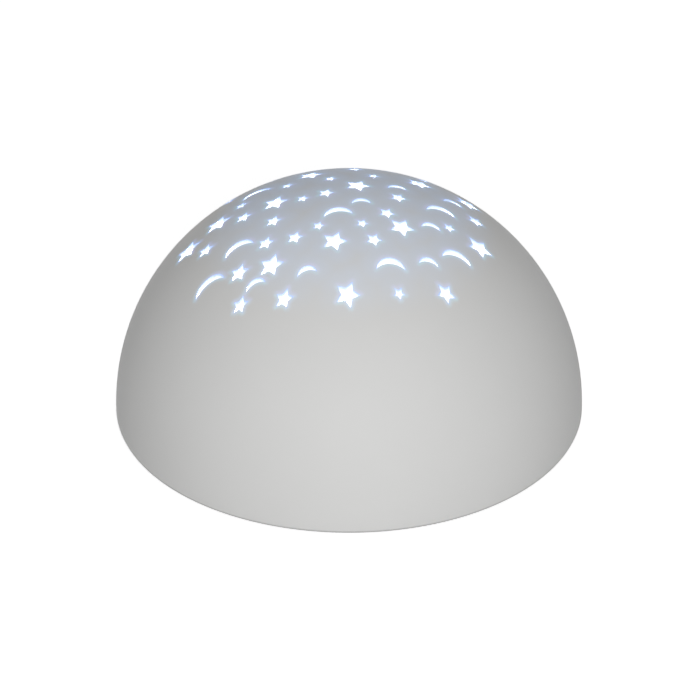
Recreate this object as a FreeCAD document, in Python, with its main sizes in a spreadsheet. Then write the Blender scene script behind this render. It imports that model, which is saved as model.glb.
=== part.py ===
import FreeCAD, Part

import math
import os
import re

import Sketcher
from FreeCAD import Rotation, Vector

# Star night light projector: a pierced half-ball lamp on four rubber feet.
# Millimetres, +Z up, the origin on the floor under the middle of the dome, the front along -Y.

SIZES = {
    # moulded dome
    "dome_radius": 82.5,
    "dome_wall": 2.0,
    "equator_height": 3.5,
    "rim_bevel": 0.6,
    "rim_lip": 1.0,
    "rim_rise": 0.2,
    "inside_tapers": 6,
    # light openings, all pulled straight up out of the dome
    "star_large": 4.2,
    "star_broad": 3.1,
    "star_medium": 2.6,
    "star_small": 1.9,
    "star_valley_share": 0.52,
    "star_turn": -3.0,
    "crescent_large_chord": 9.8,
    "crescent_large_rise": 4.2,
    "crescent_large_width": 2.2,
    "crescent_small_chord": 6.4,
    "crescent_small_rise": 2.8,
    "crescent_small_width": 1.6,
    "crescent_turn": 7.0,
    # dome bosses and the wells that hold their screws
    "boss_inset": 12.5,
    "boss_diameter": 7.0,
    "boss_turn": 45.0,
    "boss_web": 1.6,
    "boss_web_reach": 6.0,
    "pilot_depth": 12.0,
    "well_height": 10.0,
    "well_wall": 1.5,
    "well_seat": 2.0,
    "base_screw_shank": 2.9,
    "base_screw_length": 11.0,
    "base_screw_head": 5.6,
    "base_screw_head_height": 2.2,
    "head_clearance": 0.7,
    "shank_clearance": 0.15,
    "thread_clearance": 0.05,
    # base plate
    "plate_thickness": 2.5,
    "plate_gap": 0.15,
    "rib_thickness": 1.4,
    "rib_height": 5.0,
    "rib_rim_gap": 3.0,
    # rubber feet
    "foot_height": 2.0,
    "foot_diameter": 10.0,
    "foot_inset": 16.5,
    "foot_recess": 1.0,
    "foot_gap": 0.1,
    # round cells side by side
    "cell_count": 3,
    "cell_diameter": 14.5,
    "cell_length": 50.5,
    "nub_diameter": 5.5,
    "nub_height": 1.2,
    "cell_pitch": 15.1,
    "cell_side_gap": 0.3,
    "cell_roof_gap": 0.4,
    "cell_floor_gap": 0.3,
    "box_wall": 1.8,
    "box_roof": 1.6,
    # pressed contacts
    "contact_thickness": 0.5,
    "contact_width": 11.0,
    "contact_height": 11.0,
    "contact_touch": 0.05,
    "contact_slot_gap": 0.15,
    "leaf_rise": 3.4,
    "leaf_width": 5.0,
    "leaf_span": 9.0,
    "tab_width": 3.0,
    "tab_rise": 2.5,
    # battery door
    "door_thickness": 2.0,
    "door_gap": 0.3,
    "door_lid_gap": 0.1,
    "door_side_ledge": 3.2,
    "door_end_ledge": 3.5,
    "door_corner": 2.0,
    "tongue_width": 13.0,
    "tongue_reach": 4.0,
    "flange_wall": 4.0,
    "flange_roof": 1.6,
    "door_tab_width": 8.0,
    "door_tab_length": 2.5,
    "door_tab_thickness": 1.2,
    "door_tab_spacing": 26.0,
    "door_tab_gap": 0.3,
    "door_tab_sweep": 1.4,
    # captive screw of the door and its threaded insert
    "cup_diameter": 8.4,
    "cup_height": 2.0,
    "cup_floor": 1.6,
    "cup_gap": 0.4,
    "door_screw_head": 5.0,
    "door_screw_head_height": 1.8,
    "door_screw_shank": 2.6,
    "door_screw_length": 4.0,
    "door_screw_gap": 0.3,
    "insert_diameter": 4.6,
    "insert_length": 5.0,
    "insert_boss": 12.0,
    "insert_boss_cap": 1.5,
    "insert_well": 3.0,
    # slide switch
    "switch_offset": 50.0,
    "switch_travel": 4.0,
    "recess_depth": 3.0,
    "tray_floor": 1.5,
    "tray_width": 12.0,
    "tray_length": 24.0,
    "knob_width": 7.0,
    "knob_length": 7.0,
    "knob_set_in": 0.5,
    "knob_side_gap": 0.4,
    "knob_end_gap": 0.5,
    "knob_top_gap": 0.2,
    "knob_groove": 0.6,
    "knob_groove_pitch": 1.4,
    "knob_grooves": 4,
    "stem_width": 2.2,
    "stem_length": 2.4,
    "stem_side_gap": 0.3,
    "stem_end_gap": 0.4,
    "stem_grip": 1.5,
    "stem_fit": 0.05,
    "slider_width": 3.6,
    "slider_length": 4.2,
    "slider_height": 1.4,
    "slider_gap": 0.3,
    "slider_lift": 0.1,
    "housing_width": 6.4,
    "housing_length": 12.6,
    "housing_height": 5.5,
    "bracket_width": 6.4,
    "bracket_length": 20.0,
    "bracket_thickness": 0.5,
    "switch_screw_pitch": 16.0,
    "switch_screw_shank": 2.0,
    "switch_screw_length": 3.6,
    "switch_screw_head": 3.4,
    "switch_screw_head_height": 1.3,
    "terminal_pitch": 4.0,
    "terminal_width": 1.5,
    "terminal_thickness": 0.5,
    "terminal_height": 3.5,
    # lamp board
    "board_length": 44.0,
    "board_width": 34.0,
    "board_thickness": 1.6,
    "post_diameter": 6.0,
    "post_height": 5.0,
    "post_spacing_along": 36.0,
    "post_spacing_across": 26.0,
    "board_screw_shank": 2.5,
    "board_screw_length": 6.0,
    "board_screw_head": 4.5,
    "board_screw_head_height": 1.8,
    "screw_tip_room": 0.4,
    # light source
    "led_diameter": 5.0,
    "led_flange": 5.8,
    "led_flange_height": 1.0,
    "led_height": 7.0,
    # small parts of the board
    "chip_length": 5.0,
    "chip_width": 4.0,
    "chip_height": 1.5,
    "chip_leg_pitch": 1.27,
    "chip_leg_width": 0.4,
    "chip_leg_length": 1.0,
    "chip_leg_height": 0.5,
    "chip_offset": 12.0,
    "resistor_length": 3.2,
    "resistor_width": 1.6,
    "resistor_height": 0.6,
    "resistor_pitch": 3.2,
    "resistor_offset": 10.0,
    "capacitor_diameter": 5.0,
    "capacitor_height": 7.0,
    "capacitor_offset": 12.0,
    # hook-up wire
    "wire_diameter": 1.4,
    "wire_sides": 6,
    "wire_rise": 15.0,
    "wire_drop": 12.0,
    "wire_crest": 42.0,
    "wire_pad_inset": 3.0,
    "wire_pad_offset": 9.0,
}

# The dome radius that the plan positions below are measured on.
LAYOUT_RADIUS = 82.5

# Plan position of each opening, read from the photograph; those behind the crown repeat its scatter.
OPENINGS = {
    "star_large": [
        (-13.5, 26), (24.5, 23), (3, 10.5), (-25.5, 4.5), (-45.5, 7), (18, -14), (-5, -23), (45, -9.5),
        (-26.5, -28.5), (-0.5, -43.5), (41.5, 22), (-56, 2), (-28.5, 39), (13.5, 42),
    ],
    "star_broad": [(-37.5, -26.5), (33, -36.5), (-22, -42), (-5, 49), (33.5, 39)],
    "star_medium": [
        (-8, 5), (17, 4), (13, -7.5), (-36.5, 2), (-26, -7.5), (44, 7), (-18.5, -19), (8.5, -22),
        (-28.5, -18), (-49.5, -6.5), (-37, -38.5), (2, 33), (23.5, 47),
    ],
    "star_small": [
        (8.5, 22), (-6.5, 18), (-21.5, 17.5), (-16, 3), (-37.5, 13), (4.5, -14.5), (-10.5, -15),
        (34.5, -6.5), (17, -41.5), (26.5, 33), (-42, 29),
    ],
    "crescent_large": [
        (-32.5, 21), (31.5, 3.5), (-4, -7.5), (-38, -14), (36.5, -19.5), (14, -31), (-48, -23.5),
    ],
    "crescent_small": [
        (16.5, 13), (4, -1), (28, -9), (27, -26.5), (-14.5, -33.5), (-32, -33), (36, 14.5), (-14.5, 39),
    ],
}

# Heights, lengths and places that follow from the sizes, as formulas.
FORMULAS = {
    "plate_top": "foot_height + plate_thickness",
    "rim_height": "foot_height + rim_rise",
    "rabbet_radius": "dome_radius - rim_lip",
    "inner_radius": "dome_radius - dome_wall",
    "boss_circle": "dome_radius - boss_inset",
    "foot_circle": "dome_radius - foot_inset",
    "well_top": "foot_height + well_height",
    "seat_height": "foot_height + well_height - well_seat",
    "well_bore": "base_screw_head + 2 * head_clearance",
    "cavity_width": "(cell_count - 1) * cell_pitch + cell_diameter + 2 * cell_side_gap",
    "cavity_length": "cell_length + 2 * contact_thickness + contact_touch * 2 + leaf_rise",
    "door_top": "foot_height + door_thickness",
    "cell_height": "foot_height + door_thickness + cell_floor_gap + cell_diameter / 2",
    "roof_under": "cell_height + cell_diameter / 2 + cell_roof_gap",
    "roof_top": "roof_under + box_roof",
    "door_width": "cavity_width + 2 * door_side_ledge",
    "door_length": "cavity_length + 2 * door_end_ledge",
    "recess_roof": "door_top + door_lid_gap",
    "flange_top": "recess_roof + flange_roof",
    "door_screw_y": "-(door_length / 2 + tongue_reach)",
    "cup_top": "door_top + cup_height",
    "cup_seat": "cup_top - cup_floor",
    "insert_under": "cup_top + cup_gap",
    "insert_boss_top": "insert_under + insert_length + insert_well + insert_boss_cap",
    "board_under": "roof_top + post_height",
    "board_top": "board_under + board_thickness",
    "tray_under": "foot_height + recess_depth",
    "tray_top": "tray_under + tray_floor",
    "switch_rest": "switch_travel / 2",
    "bracket_top": "tray_top + bracket_thickness",
    "housing_top": "bracket_top + housing_height",
    "knob_under": "foot_height + knob_set_in",
    "knob_top": "tray_under - knob_top_gap",
    "contact_under": "cell_height - contact_height / 2",
    "contact_top": "cell_height + contact_height / 2",
    "tab_top": "roof_top + tab_rise",
    "front_contact": "-(cavity_length - contact_thickness) / 2",
    "leaf_radius": "(leaf_span * leaf_span / 4 + leaf_rise * leaf_rise) / (2 * leaf_rise)",
    "tab_under": "door_top - door_tab_thickness",
}

NODES = []
WORD = re.compile(r"[a-z][a-z_]*[a-z]")

doc = FreeCAD.newDocument("star_night_light")
sheet = doc.addObject("Spreadsheet::Sheet", "Sizes")


def fill_sheet():
    """Give every size a cell with an alias, then every derived place a cell with its formula."""
    for row, (alias, number) in enumerate(SIZES.items(), 1):
        sheet.set(f"A{row}", alias)
        sheet.set(f"B{row}", str(number))
        sheet.setAlias(f"B{row}", alias)
    for row, (alias, formula) in enumerate(FORMULAS.items(), len(SIZES) + 1):
        sheet.set(f"A{row}", alias)
        sheet.set(f"B{row}", f"={formula}")
        sheet.setAlias(f"B{row}", alias)
    doc.recompute()


def qualified(formula):
    """The formula with each size name pointing at its cell of the sheet."""

    def point(match):
        word = match.group(0)
        return f"Sizes.{word}" if word in SIZES or word in FORMULAS else word

    return WORD.sub(point, formula)


def value(formula):
    """The number that a formula of size names gives now."""
    return float(sheet.evalExpression(qualified(formula)))


def bind(item, prop, formula):
    """Tie one property of a document object to the sheet."""
    item.setExpression(prop, qualified(formula))


def place(item, x="0", y="0", z="0", turn=0.0, axis=Vector(0, 0, 1)):
    """Turn an object about one axis and tie its position to the sheet."""
    item.Placement.Rotation = Rotation(axis, turn)
    bind(item, "Placement.Base.x", x)
    bind(item, "Placement.Base.y", y)
    bind(item, "Placement.Base.z", z)


def block(name, length, width, height, x="0", y="0", z="0"):
    """An upright box, centred in plan on x and y, standing on z."""
    item = doc.addObject("Part::Box", name)
    bind(item, "Length", length)
    bind(item, "Width", width)
    bind(item, "Height", height)
    place(item, f"{x} - ({length}) / 2", f"{y} - ({width}) / 2", z)
    return item


def rod(name, diameter, height, x="0", y="0", z="0"):
    """An upright cylinder standing on z."""
    item = doc.addObject("Part::Cylinder", name)
    bind(item, "Radius", f"({diameter}) / 2")
    bind(item, "Height", height)
    place(item, x, y, z)
    return item


def fused(name, items):
    """One solid of several that overlap or touch."""
    item = doc.addObject("Part::MultiFuse", name)
    item.Shapes = items
    item.Refine = True
    return item


def cut(name, base, tools):
    """The base less every tool."""
    tool = tools[0]
    if len(tools) > 1:
        tool = doc.addObject("Part::Compound", f"{name}_tools")
        tool.Links = tools
    item = doc.addObject("Part::Cut", name)
    item.Base = base
    item.Tool = tool
    item.Refine = True
    return item


def group(name, items):
    """Alike pieces that share one node."""
    item = doc.addObject("Part::Compound", name)
    item.Links = items
    return item


def hand_over(item, node):
    """Name a finished sub-part; its label is its file's name."""
    item.Label = node
    NODES.append(item)
    return item


def body_sketch(name, role):
    """A body with a sketch on one of its own origin planes."""
    body = doc.addObject("PartDesign::Body", name)
    sketch = body.newObject("Sketcher::SketchObject", f"{name}_outline")
    planes = [feature for feature in body.Origin.OriginFeatures if feature.Role == role]
    sketch.AttachmentSupport = [(planes[0], "")]
    sketch.MapMode = "FlatFace"
    return body, sketch


def pin_point(sketch, edge, x, y):
    """Hold the start of one sketch edge at a formula place."""
    for kind, axis, formula in (("DistanceX", -2, x), ("DistanceY", -1, y)):
        if formula == "0":
            sketch.addConstraint(Sketcher.Constraint("PointOnObject", edge, 1, axis))
            continue
        index = sketch.addConstraint(Sketcher.Constraint(kind, -1, 1, edge, 1, value(formula)))
        bind(sketch, f"Constraints[{index}]", formula)


def draw(sketch, outline):
    """Draw a closed outline; each entry is (x, y), or (x, y, centre x, centre y, radius) where a
    left-turning arc starts."""
    points = [Vector(value(entry[0]), value(entry[1]), 0) for entry in outline]
    for index, entry in enumerate(outline):
        start = points[index]
        end = points[(index + 1) % len(points)]
        if len(entry) == 2:
            sketch.addGeometry(Part.LineSegment(start, end))
            continue
        centre = Vector(value(entry[2]), value(entry[3]), 0)
        circle = Part.Circle(centre, Vector(0, 0, 1), value(entry[4]))
        first = math.atan2(start.y - centre.y, start.x - centre.x)
        last = math.atan2(end.y - centre.y, end.x - centre.x)
        sketch.addGeometry(Part.ArcOfCircle(circle, first, last))
    for index, entry in enumerate(outline):
        sketch.addConstraint(Sketcher.Constraint("Coincident", index, 2, (index + 1) % len(points), 1))
    for index, entry in enumerate(outline):
        pin_point(sketch, index, entry[0], entry[1])
        if len(entry) > 2:
            number = sketch.addConstraint(Sketcher.Constraint("Radius", index, value(entry[4])))
            bind(sketch, f"Constraints[{number}]", entry[4])


def rounded(length, width, corner):
    """Outline of a rectangle with round corners, about the origin."""
    x = f"({length}) / 2"
    y = f"({width}) / 2"
    return [
        (f"-{x} + {corner}", f"-{y}"),
        (f"{x} - {corner}", f"-{y}", f"{x} - {corner}", f"-{y} + {corner}", corner),
        (x, f"-{y} + {corner}"),
        (x, f"{y} - {corner}", f"{x} - {corner}", f"{y} - {corner}", corner),
        (f"{x} - {corner}", y),
        (f"-{x} + {corner}", y, f"-{x} + {corner}", f"{y} - {corner}", corner),
        (f"-{x}", f"{y} - {corner}"),
        (f"-{x}", f"-{y} + {corner}", f"-{x} + {corner}", f"-{y} + {corner}", corner),
    ]


def turned(name, outline):
    """A turned body: its half section, drawn right of the axis, goes once round Z."""
    body, sketch = body_sketch(name, "XZ_Plane")
    draw(sketch, outline)
    spin = body.newObject("PartDesign::Revolution", f"{name}_spin")
    spin.Profile = sketch
    spin.ReferenceAxis = (sketch, ["V_Axis"])
    spin.Angle = 360
    return body


def raised(name, outline, height):
    """A plate body: its outline, drawn in plan, padded up from the body's own floor."""
    body, sketch = body_sketch(name, "XY_Plane")
    draw(sketch, outline)
    pad = body.newObject("PartDesign::Pad", f"{name}_pad")
    pad.Profile = sketch
    bind(pad, "Length", height)
    return body


def screw(name, head, head_height, shank, length, z, x="0", y="0", head_up=True):
    """A screw with a round head; z is the face that its head bears on."""
    top = f"-({head_height})" if not head_up else head_height
    tip = length if not head_up else f"-({length})"
    outline = [
        ("0", top),
        ("0", tip),
        (f"({shank}) / 2", tip),
        (f"({shank}) / 2", "0"),
        (f"({head}) / 2", "0"),
        (f"({head}) / 2", top),
    ]
    body = turned(name, outline)
    place(body, x, y, z)
    return body


def ring_spot(circle, turn):
    """Plan position on a circle as two formulas."""
    return f"{circle} * cos({turn})", f"{circle} * sin({turn})"


def radial_web(name, turn, start, length, thickness, height):
    """A thin upright wall that runs outward from a start radius."""
    web = doc.addObject("Part::Box", name)
    bind(web, "Length", length)
    bind(web, "Width", thickness)
    bind(web, "Height", height)
    web.Placement.Rotation = Rotation(Vector(0, 0, 1), value(turn))
    side = f"({thickness}) / 2"
    bind(web, "Placement.Base.x", f"({start}) * cos({turn}) + {side} * sin({turn})")
    bind(web, "Placement.Base.y", f"({start}) * sin({turn}) - {side} * cos({turn})")
    return web


def boss_spots():
    """The four places where a screw joins the base to the dome."""
    return [ring_spot("boss_circle", f"boss_turn + {90 * number}") for number in range(4)]


def star_outline(x, y, tip_radius):
    """A five-pointed star in plan."""
    points = []
    for corner in range(10):
        angle = math.radians(value("star_turn") + 36 * corner)
        reach = tip_radius if corner % 2 == 0 else tip_radius * value("star_valley_share")
        points.append(Vector(x + reach * math.cos(angle), y + reach * math.sin(angle), 0))
    points.append(points[0])
    return Part.Face(Part.makePolygon(points))


def crescent_outline(x, y, chord, rise, width):
    """A crescent moon in plan, its horns to the front."""
    horn = -0.55 * rise
    left = Vector(-chord / 2, horn, 0)
    right = Vector(chord / 2, horn, 0)
    back = Vector(0, horn + rise, 0)
    hollow = Vector(0, horn + rise - width, 0)
    arcs = [Part.Arc(left, back, right).toShape(), Part.Arc(right, hollow, left).toShape()]
    face = Part.Face(Part.Wire(arcs))
    face.rotate(Vector(0, 0, 0), Vector(0, 0, 1), value("crescent_turn"))
    face.translate(Vector(x, y, 0))
    return face


def opening_cores():
    """The upright cores that leave the stars and crescents in the dome."""
    scale = value("dome_radius") / LAYOUT_RADIUS
    floor = value("equator_height")
    cores = []
    for kind, spots in OPENINGS.items():
        for x, y in spots:
            if kind.startswith("star"):
                face = star_outline(x * scale, y * scale, value(kind))
            else:
                sizes = [value(f"{kind}_{part}") for part in ("chord", "rise", "width")]
                face = crescent_outline(x * scale, y * scale, *sizes)
            face.translate(Vector(0, 0, floor))
            cores.append(face.extrude(Vector(0, 0, value("dome_radius") + 1)))
    item = doc.addObject("Part::Feature", "opening_cores")
    item.Shape = Part.makeCompound(cores)
    return item


def dome_section():
    """Half section of the dome: a true half ball outside, straight tapers inside, a rabbet at the rim."""
    tapers = SIZES["inside_tapers"]
    outline = [
        ("rabbet_radius", "rim_height"),
        ("dome_radius - rim_bevel", "rim_height"),
        ("dome_radius", "rim_height + rim_bevel"),
        ("dome_radius", "equator_height", "0", "equator_height", "dome_radius"),
        ("0", "equator_height + dome_radius"),
    ]
    for step in range(tapers, 0, -1):
        angle = f"{90 * step / tapers}"
        across = "0" if step == tapers else f"inner_radius * cos({angle})"
        outline.append((across, f"equator_height + inner_radius * sin({angle})"))
    outline.append(("inner_radius", "plate_top"))
    outline.append(("rabbet_radius", "plate_top"))
    return outline


def make_dome():
    """The dome with its four screw bosses, each webbed to the wall, and its openings."""
    shell = turned("dome_wall_body", dome_section())
    ball = doc.addObject("Part::Sphere", "dome_trim_ball")
    bind(ball, "Radius", "dome_radius - dome_wall / 2")
    place(ball, z="equator_height")
    rise = "dome_radius"
    columns = []
    pilots = []
    for number, (x, y) in enumerate(boss_spots(), 1):
        column = rod(f"boss_column_{number}", "boss_diameter", rise, x, y, "well_top")
        turn = f"boss_turn + {90 * (number - 1)}"
        reach = "boss_web_reach + boss_diameter / 2"
        web = radial_web(f"boss_web_{number}", turn, "boss_circle", reach, "boss_web", rise)
        bind(web, "Placement.Base.z", "well_top + boss_web_reach")
        columns += [column, web]
        pilot = "base_screw_shank + 2 * thread_clearance"
        pilots.append(rod(f"boss_pilot_{number}", pilot, "pilot_depth", x, y, "well_top"))
    bosses = doc.addObject("Part::Common", "dome_bosses")
    bosses.Base = fused("boss_columns", columns)
    bosses.Tool = ball
    blank = fused("dome_blank", [shell, bosses])
    hand_over(cut("dome", blank, [opening_cores()] + pilots), "dome_shell")


def make_feet():
    """Four rubber feet, each in a shallow recess of the base plate."""
    recesses = []
    for number in range(4):
        x, y = ring_spot("foot_circle", f"{90 * number}")
        foot = rod(f"foot_{number + 1}", "foot_diameter", "foot_height + foot_recess", x, y)
        hand_over(foot, f"rubber_foot_{number + 1}")
        recess = "foot_diameter + 2 * foot_gap"
        recesses.append(rod(f"foot_recess_{number + 1}", recess, "foot_recess", x, y, "foot_height"))
    return recesses


def base_solids():
    """Everything that stands on the base plate, to be fused with it."""
    plate = rod("base_disc", "2 * (rabbet_radius - plate_gap)", "plate_thickness", z="foot_height")
    flange = block(
        "door_flange",
        "door_width + 2 * (door_gap + flange_wall)",
        "door_length + 2 * (door_gap + flange_wall)",
        "flange_top - foot_height",
        z="foot_height",
    )
    box = block(
        "battery_box",
        "cavity_width + 2 * box_wall",
        "cavity_length + 2 * box_wall",
        "roof_top - foot_height",
        z="foot_height",
    )
    collar = "tongue_width + 2 * (door_gap + flange_roof)"
    tongue = rod("tongue_flange", collar, "flange_top - foot_height", y="door_screw_y", z="foot_height")
    boss_height = "insert_boss_top - foot_height"
    boss = rod("insert_boss_rod", "insert_boss", boss_height, y="door_screw_y", z="foot_height")
    tray_height = "tray_top - foot_height"
    tray = block("switch_tray", "tray_width", "tray_length", tray_height, "switch_offset", z="foot_height")
    solids = [plate, flange, box, tongue, boss, tray]
    for number, (x, y) in enumerate(boss_spots(), 1):
        across = "well_bore + 2 * well_wall"
        solids.append(rod(f"screw_well_{number}", across, "well_height", x, y, "foot_height"))
    for x, y in board_spots():
        solids.append(rod("board_post", "post_diameter", "post_height", x, y, "roof_top"))
    return solids + base_ribs()


def base_ribs():
    """Stiffening ribs that run out from the battery box, four of them to the screw wells."""
    side = "cavity_width / 2 + box_wall / 2"
    end = "cavity_length / 2 + box_wall / 2"
    rim = "rabbet_radius - rib_rim_gap"
    to_wells = (f"({side}) / cos(boss_turn)", "boss_circle - well_bore / 2")
    runs = [(f"boss_turn + {turn}", *to_wells) for turn in (0, 90, 180, 270)]
    runs += [
        ("0", "switch_offset + tray_width / 2 - box_wall", rim),
        ("90", end, rim),
        ("180", side, rim),
        ("270", "-door_screw_y + insert_boss / 2 - box_wall", rim),
    ]
    ribs = []
    for turn, start, stop in runs:
        length = f"{stop} - ({start})"
        rib = radial_web("base_rib", turn, start, length, "rib_thickness", "rib_height + plate_thickness")
        bind(rib, "Placement.Base.z", "foot_height")
        ribs.append(rib)
    return ribs


def well_cuts():
    """Bores of the screw wells: room for the head below, the shank's hole through the seat."""
    cuts = []
    for number, (x, y) in enumerate(boss_spots(), 1):
        deep = "seat_height - foot_height"
        cuts.append(rod(f"well_bore_{number}", "well_bore", deep, x, y, "foot_height"))
        hole = "base_screw_shank + 2 * shank_clearance"
        cuts.append(rod(f"seat_hole_{number}", hole, "well_seat", x, y, "seat_height"))
    return cuts


def door_cuts():
    """The room for the battery door, its tongue, cup and tabs, and for the cells above it."""
    deep = "recess_roof - foot_height"
    gap = "2 * door_gap"
    lid = block("door_recess", f"door_width + {gap}", f"door_length + {gap}", deep, z="foot_height")
    tongue = rod("tongue_recess", f"tongue_width + {gap}", deep, y="door_screw_y", z="foot_height")
    neck = block(
        "tongue_neck",
        f"tongue_width + {gap}",
        "tongue_reach + door_gap",
        deep,
        y="(door_screw_y - door_length / 2) / 2",
        z="foot_height",
    )
    pocket = "cup_diameter + 2 * cup_gap"
    cup = rod("cup_pocket", pocket, "insert_under - foot_height", y="door_screw_y", z="foot_height")
    seat = "insert_diameter + 2 * thread_clearance"
    insert = rod("insert_seat", seat, "insert_length", y="door_screw_y", z="insert_under")
    tip = rod(
        "screw_tip_well",
        "door_screw_shank + 2 * door_screw_gap",
        "insert_well",
        y="door_screw_y",
        z="insert_under + insert_length",
    )
    tall = "roof_under - foot_height"
    cells = block("cell_cavity", "cavity_width", "cavity_length", tall, z="foot_height")
    cuts = [lid, tongue, neck, cup, insert, tip, cells]
    reach = "door_tab_length + door_gap + door_tab_gap"
    for side in ("-", ""):
        notch = block(
            "door_tab_notch",
            "door_tab_width + 2 * door_tab_gap",
            f"{reach} + door_tab_sweep",
            "flange_top - tab_under + door_gap",
            f"{side}door_tab_spacing / 2",
            f"door_length / 2 + ({reach} - door_tab_sweep) / 2",
            "tab_under - door_lid_gap",
        )
        cuts.append(notch)
    return cuts


def board_spots():
    """The four screw places of the lamp board."""
    return [
        (f"{across}post_spacing_along / 2", f"{along}post_spacing_across / 2")
        for across in ("-", "")
        for along in ("-", "")
    ]


def fastening_cuts():
    """Screw holes of the board's posts and of the switch, and the slots for the contacts' tabs."""
    cuts = []
    hole = "board_screw_shank + 2 * thread_clearance"
    deep = "board_screw_length - board_thickness + screw_tip_room"
    for x, y in board_spots():
        cuts.append(rod("post_hole", hole, deep, x, y, f"board_under - ({deep})"))
    hole = "switch_screw_shank + 2 * thread_clearance"
    deep = "switch_screw_length - bracket_thickness + screw_tip_room"
    for side in ("-", ""):
        y = f"{side}switch_screw_pitch / 2"
        cuts.append(rod("switch_screw_hole", hole, deep, "switch_offset", y, f"tray_top - ({deep})"))
    wide = "tab_width + 2 * contact_slot_gap"
    thin = "contact_thickness + 2 * contact_slot_gap"
    for x, y in (("-cell_pitch", "front_contact"), ("cell_pitch", "-front_contact")):
        cuts.append(block("tab_slot", wide, thin, "box_roof", x, y, "roof_under"))
    return cuts


def switch_cuts():
    """The recess that the switch knob slides in, and the slot for its stem."""
    recess = block(
        "knob_recess",
        "knob_width + 2 * knob_side_gap",
        "knob_length + switch_travel + 2 * knob_end_gap",
        "recess_depth",
        "switch_offset",
        z="foot_height",
    )
    return [recess, stem_slot("tray_slot", "tray_floor", "tray_under")]


def stem_slot(name, depth, z):
    """The slot that the switch's stem travels in."""
    return block(
        name,
        "stem_width + 2 * stem_side_gap",
        "stem_length + switch_travel + 2 * stem_end_gap",
        depth,
        "switch_offset",
        z=z,
    )


def make_base(foot_recesses):
    """The moulded base: plate, battery box, screw wells, posts, ribs and the switch's tray."""
    blank = fused("base_blank", base_solids())
    cuts = well_cuts() + door_cuts() + fastening_cuts() + switch_cuts() + foot_recesses
    hand_over(cut("base", blank, cuts), "base_plate")


def make_door():
    """The battery door with its tongue, screw cup and two tabs."""
    lid = raised("door_lid", rounded("door_width", "door_length", "door_corner"), "door_thickness")
    place(lid, z="foot_height")
    tongue = rod("door_tongue", "tongue_width", "door_thickness", y="door_screw_y", z="foot_height")
    neck = block(
        "door_neck",
        "tongue_width",
        "tongue_reach + door_corner",
        "door_thickness",
        y="door_screw_y + (tongue_reach + door_corner) / 2",
        z="foot_height",
    )
    cup = rod("door_cup", "cup_diameter", "cup_top - foot_height", y="door_screw_y", z="foot_height")
    solids = [lid, tongue, neck, cup]
    for side in ("-", ""):
        tab = block(
            "door_tab",
            "door_tab_width",
            "door_tab_length + door_corner",
            "door_tab_thickness",
            f"{side}door_tab_spacing / 2",
            "door_length / 2 + (door_tab_length - door_corner) / 2",
            "tab_under",
        )
        solids.append(tab)
    wide = "door_screw_head + 2 * door_gap"
    bore = rod("head_bore", wide, "cup_seat - foot_height", y="door_screw_y", z="foot_height")
    through = "door_screw_shank + 2 * shank_clearance"
    hole = rod("door_screw_hole", through, "cup_floor", y="door_screw_y", z="cup_seat")
    hand_over(cut("door", fused("door_blank", solids), [bore, hole]), "battery_door")


def make_door_fastening():
    """The door's captive screw and the brass insert that it turns in."""
    sizes = ("door_screw_head", "door_screw_head_height", "door_screw_shank", "door_screw_length")
    captive = screw("door_screw", *sizes, z="cup_seat", y="door_screw_y", head_up=False)
    hand_over(captive, "battery_door_screw")
    bore = "door_screw_shank / 2 + door_screw_gap"
    rim = "insert_diameter / 2"
    ring = turned("insert_ring", [(bore, "0"), (rim, "0"), (rim, "insert_length"), (bore, "insert_length")])
    place(ring, y="door_screw_y", z="insert_under")
    hand_over(ring, "door_screw_insert")


def make_base_screws():
    """The four screws that pull the dome down on the base."""
    sizes = ("base_screw_head", "base_screw_head_height", "base_screw_shank", "base_screw_length")
    screws = []
    for x, y in boss_spots():
        screws.append(screw("base_screw", *sizes, z="seat_height", x=x, y=y, head_up=False))
    hand_over(group("base_screw_set", screws), "base_screws")


def make_cells():
    """Round cells side by side, every second one the other way round."""
    shoulder = "cell_length - nub_height"
    outline = [
        ("0", "0"),
        ("cell_diameter / 2", "0"),
        ("cell_diameter / 2", shoulder),
        ("nub_diameter / 2", shoulder),
        ("nub_diameter / 2", "cell_length"),
        ("0", "cell_length"),
    ]
    foot = "cavity_length / 2 - contact_thickness - contact_touch - cell_length"
    for number in range(SIZES["cell_count"]):
        cell = turned(f"cell_{number + 1}", outline)
        backward = number % 2 == 1
        y = foot if backward else f"-({foot})"
        turn = -90 if backward else 90
        x = f"({number} - (cell_count - 1) / 2) * cell_pitch"
        place(cell, x, y, "cell_height", turn, Vector(1, 0, 0))
        hand_over(cell, f"battery_cell_{number + 1}")


def contact_leaf(name, x, front):
    """A bowed spring leaf that stands out from a contact plate and presses on a cell's flat end."""
    sign = "" if front else "-"
    face = f"{sign}(front_contact + contact_thickness / 2)"
    centre = f"{face} + {sign}(leaf_rise - leaf_radius)"
    outside = rod(f"{name}_outside", "2 * leaf_radius", "leaf_width")
    inside = rod(f"{name}_inside", "2 * (leaf_radius - contact_thickness)", "leaf_width")
    for item in (outside, inside):
        place(item, f"{x} - leaf_width / 2", centre, "cell_height", 90, Vector(0, 1, 0))
    bow = cut(f"{name}_bow", outside, [inside])
    y = f"{face} + {sign}leaf_rise / 2"
    keep = block(f"{name}_keep", "leaf_width", "leaf_rise", "2 * leaf_radius", x, y)
    bind(keep, "Placement.Base.z", "cell_height - leaf_radius")
    common = doc.addObject("Part::Common", f"{name}_strip")
    common.Base = bow
    common.Tool = keep
    return common


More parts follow.
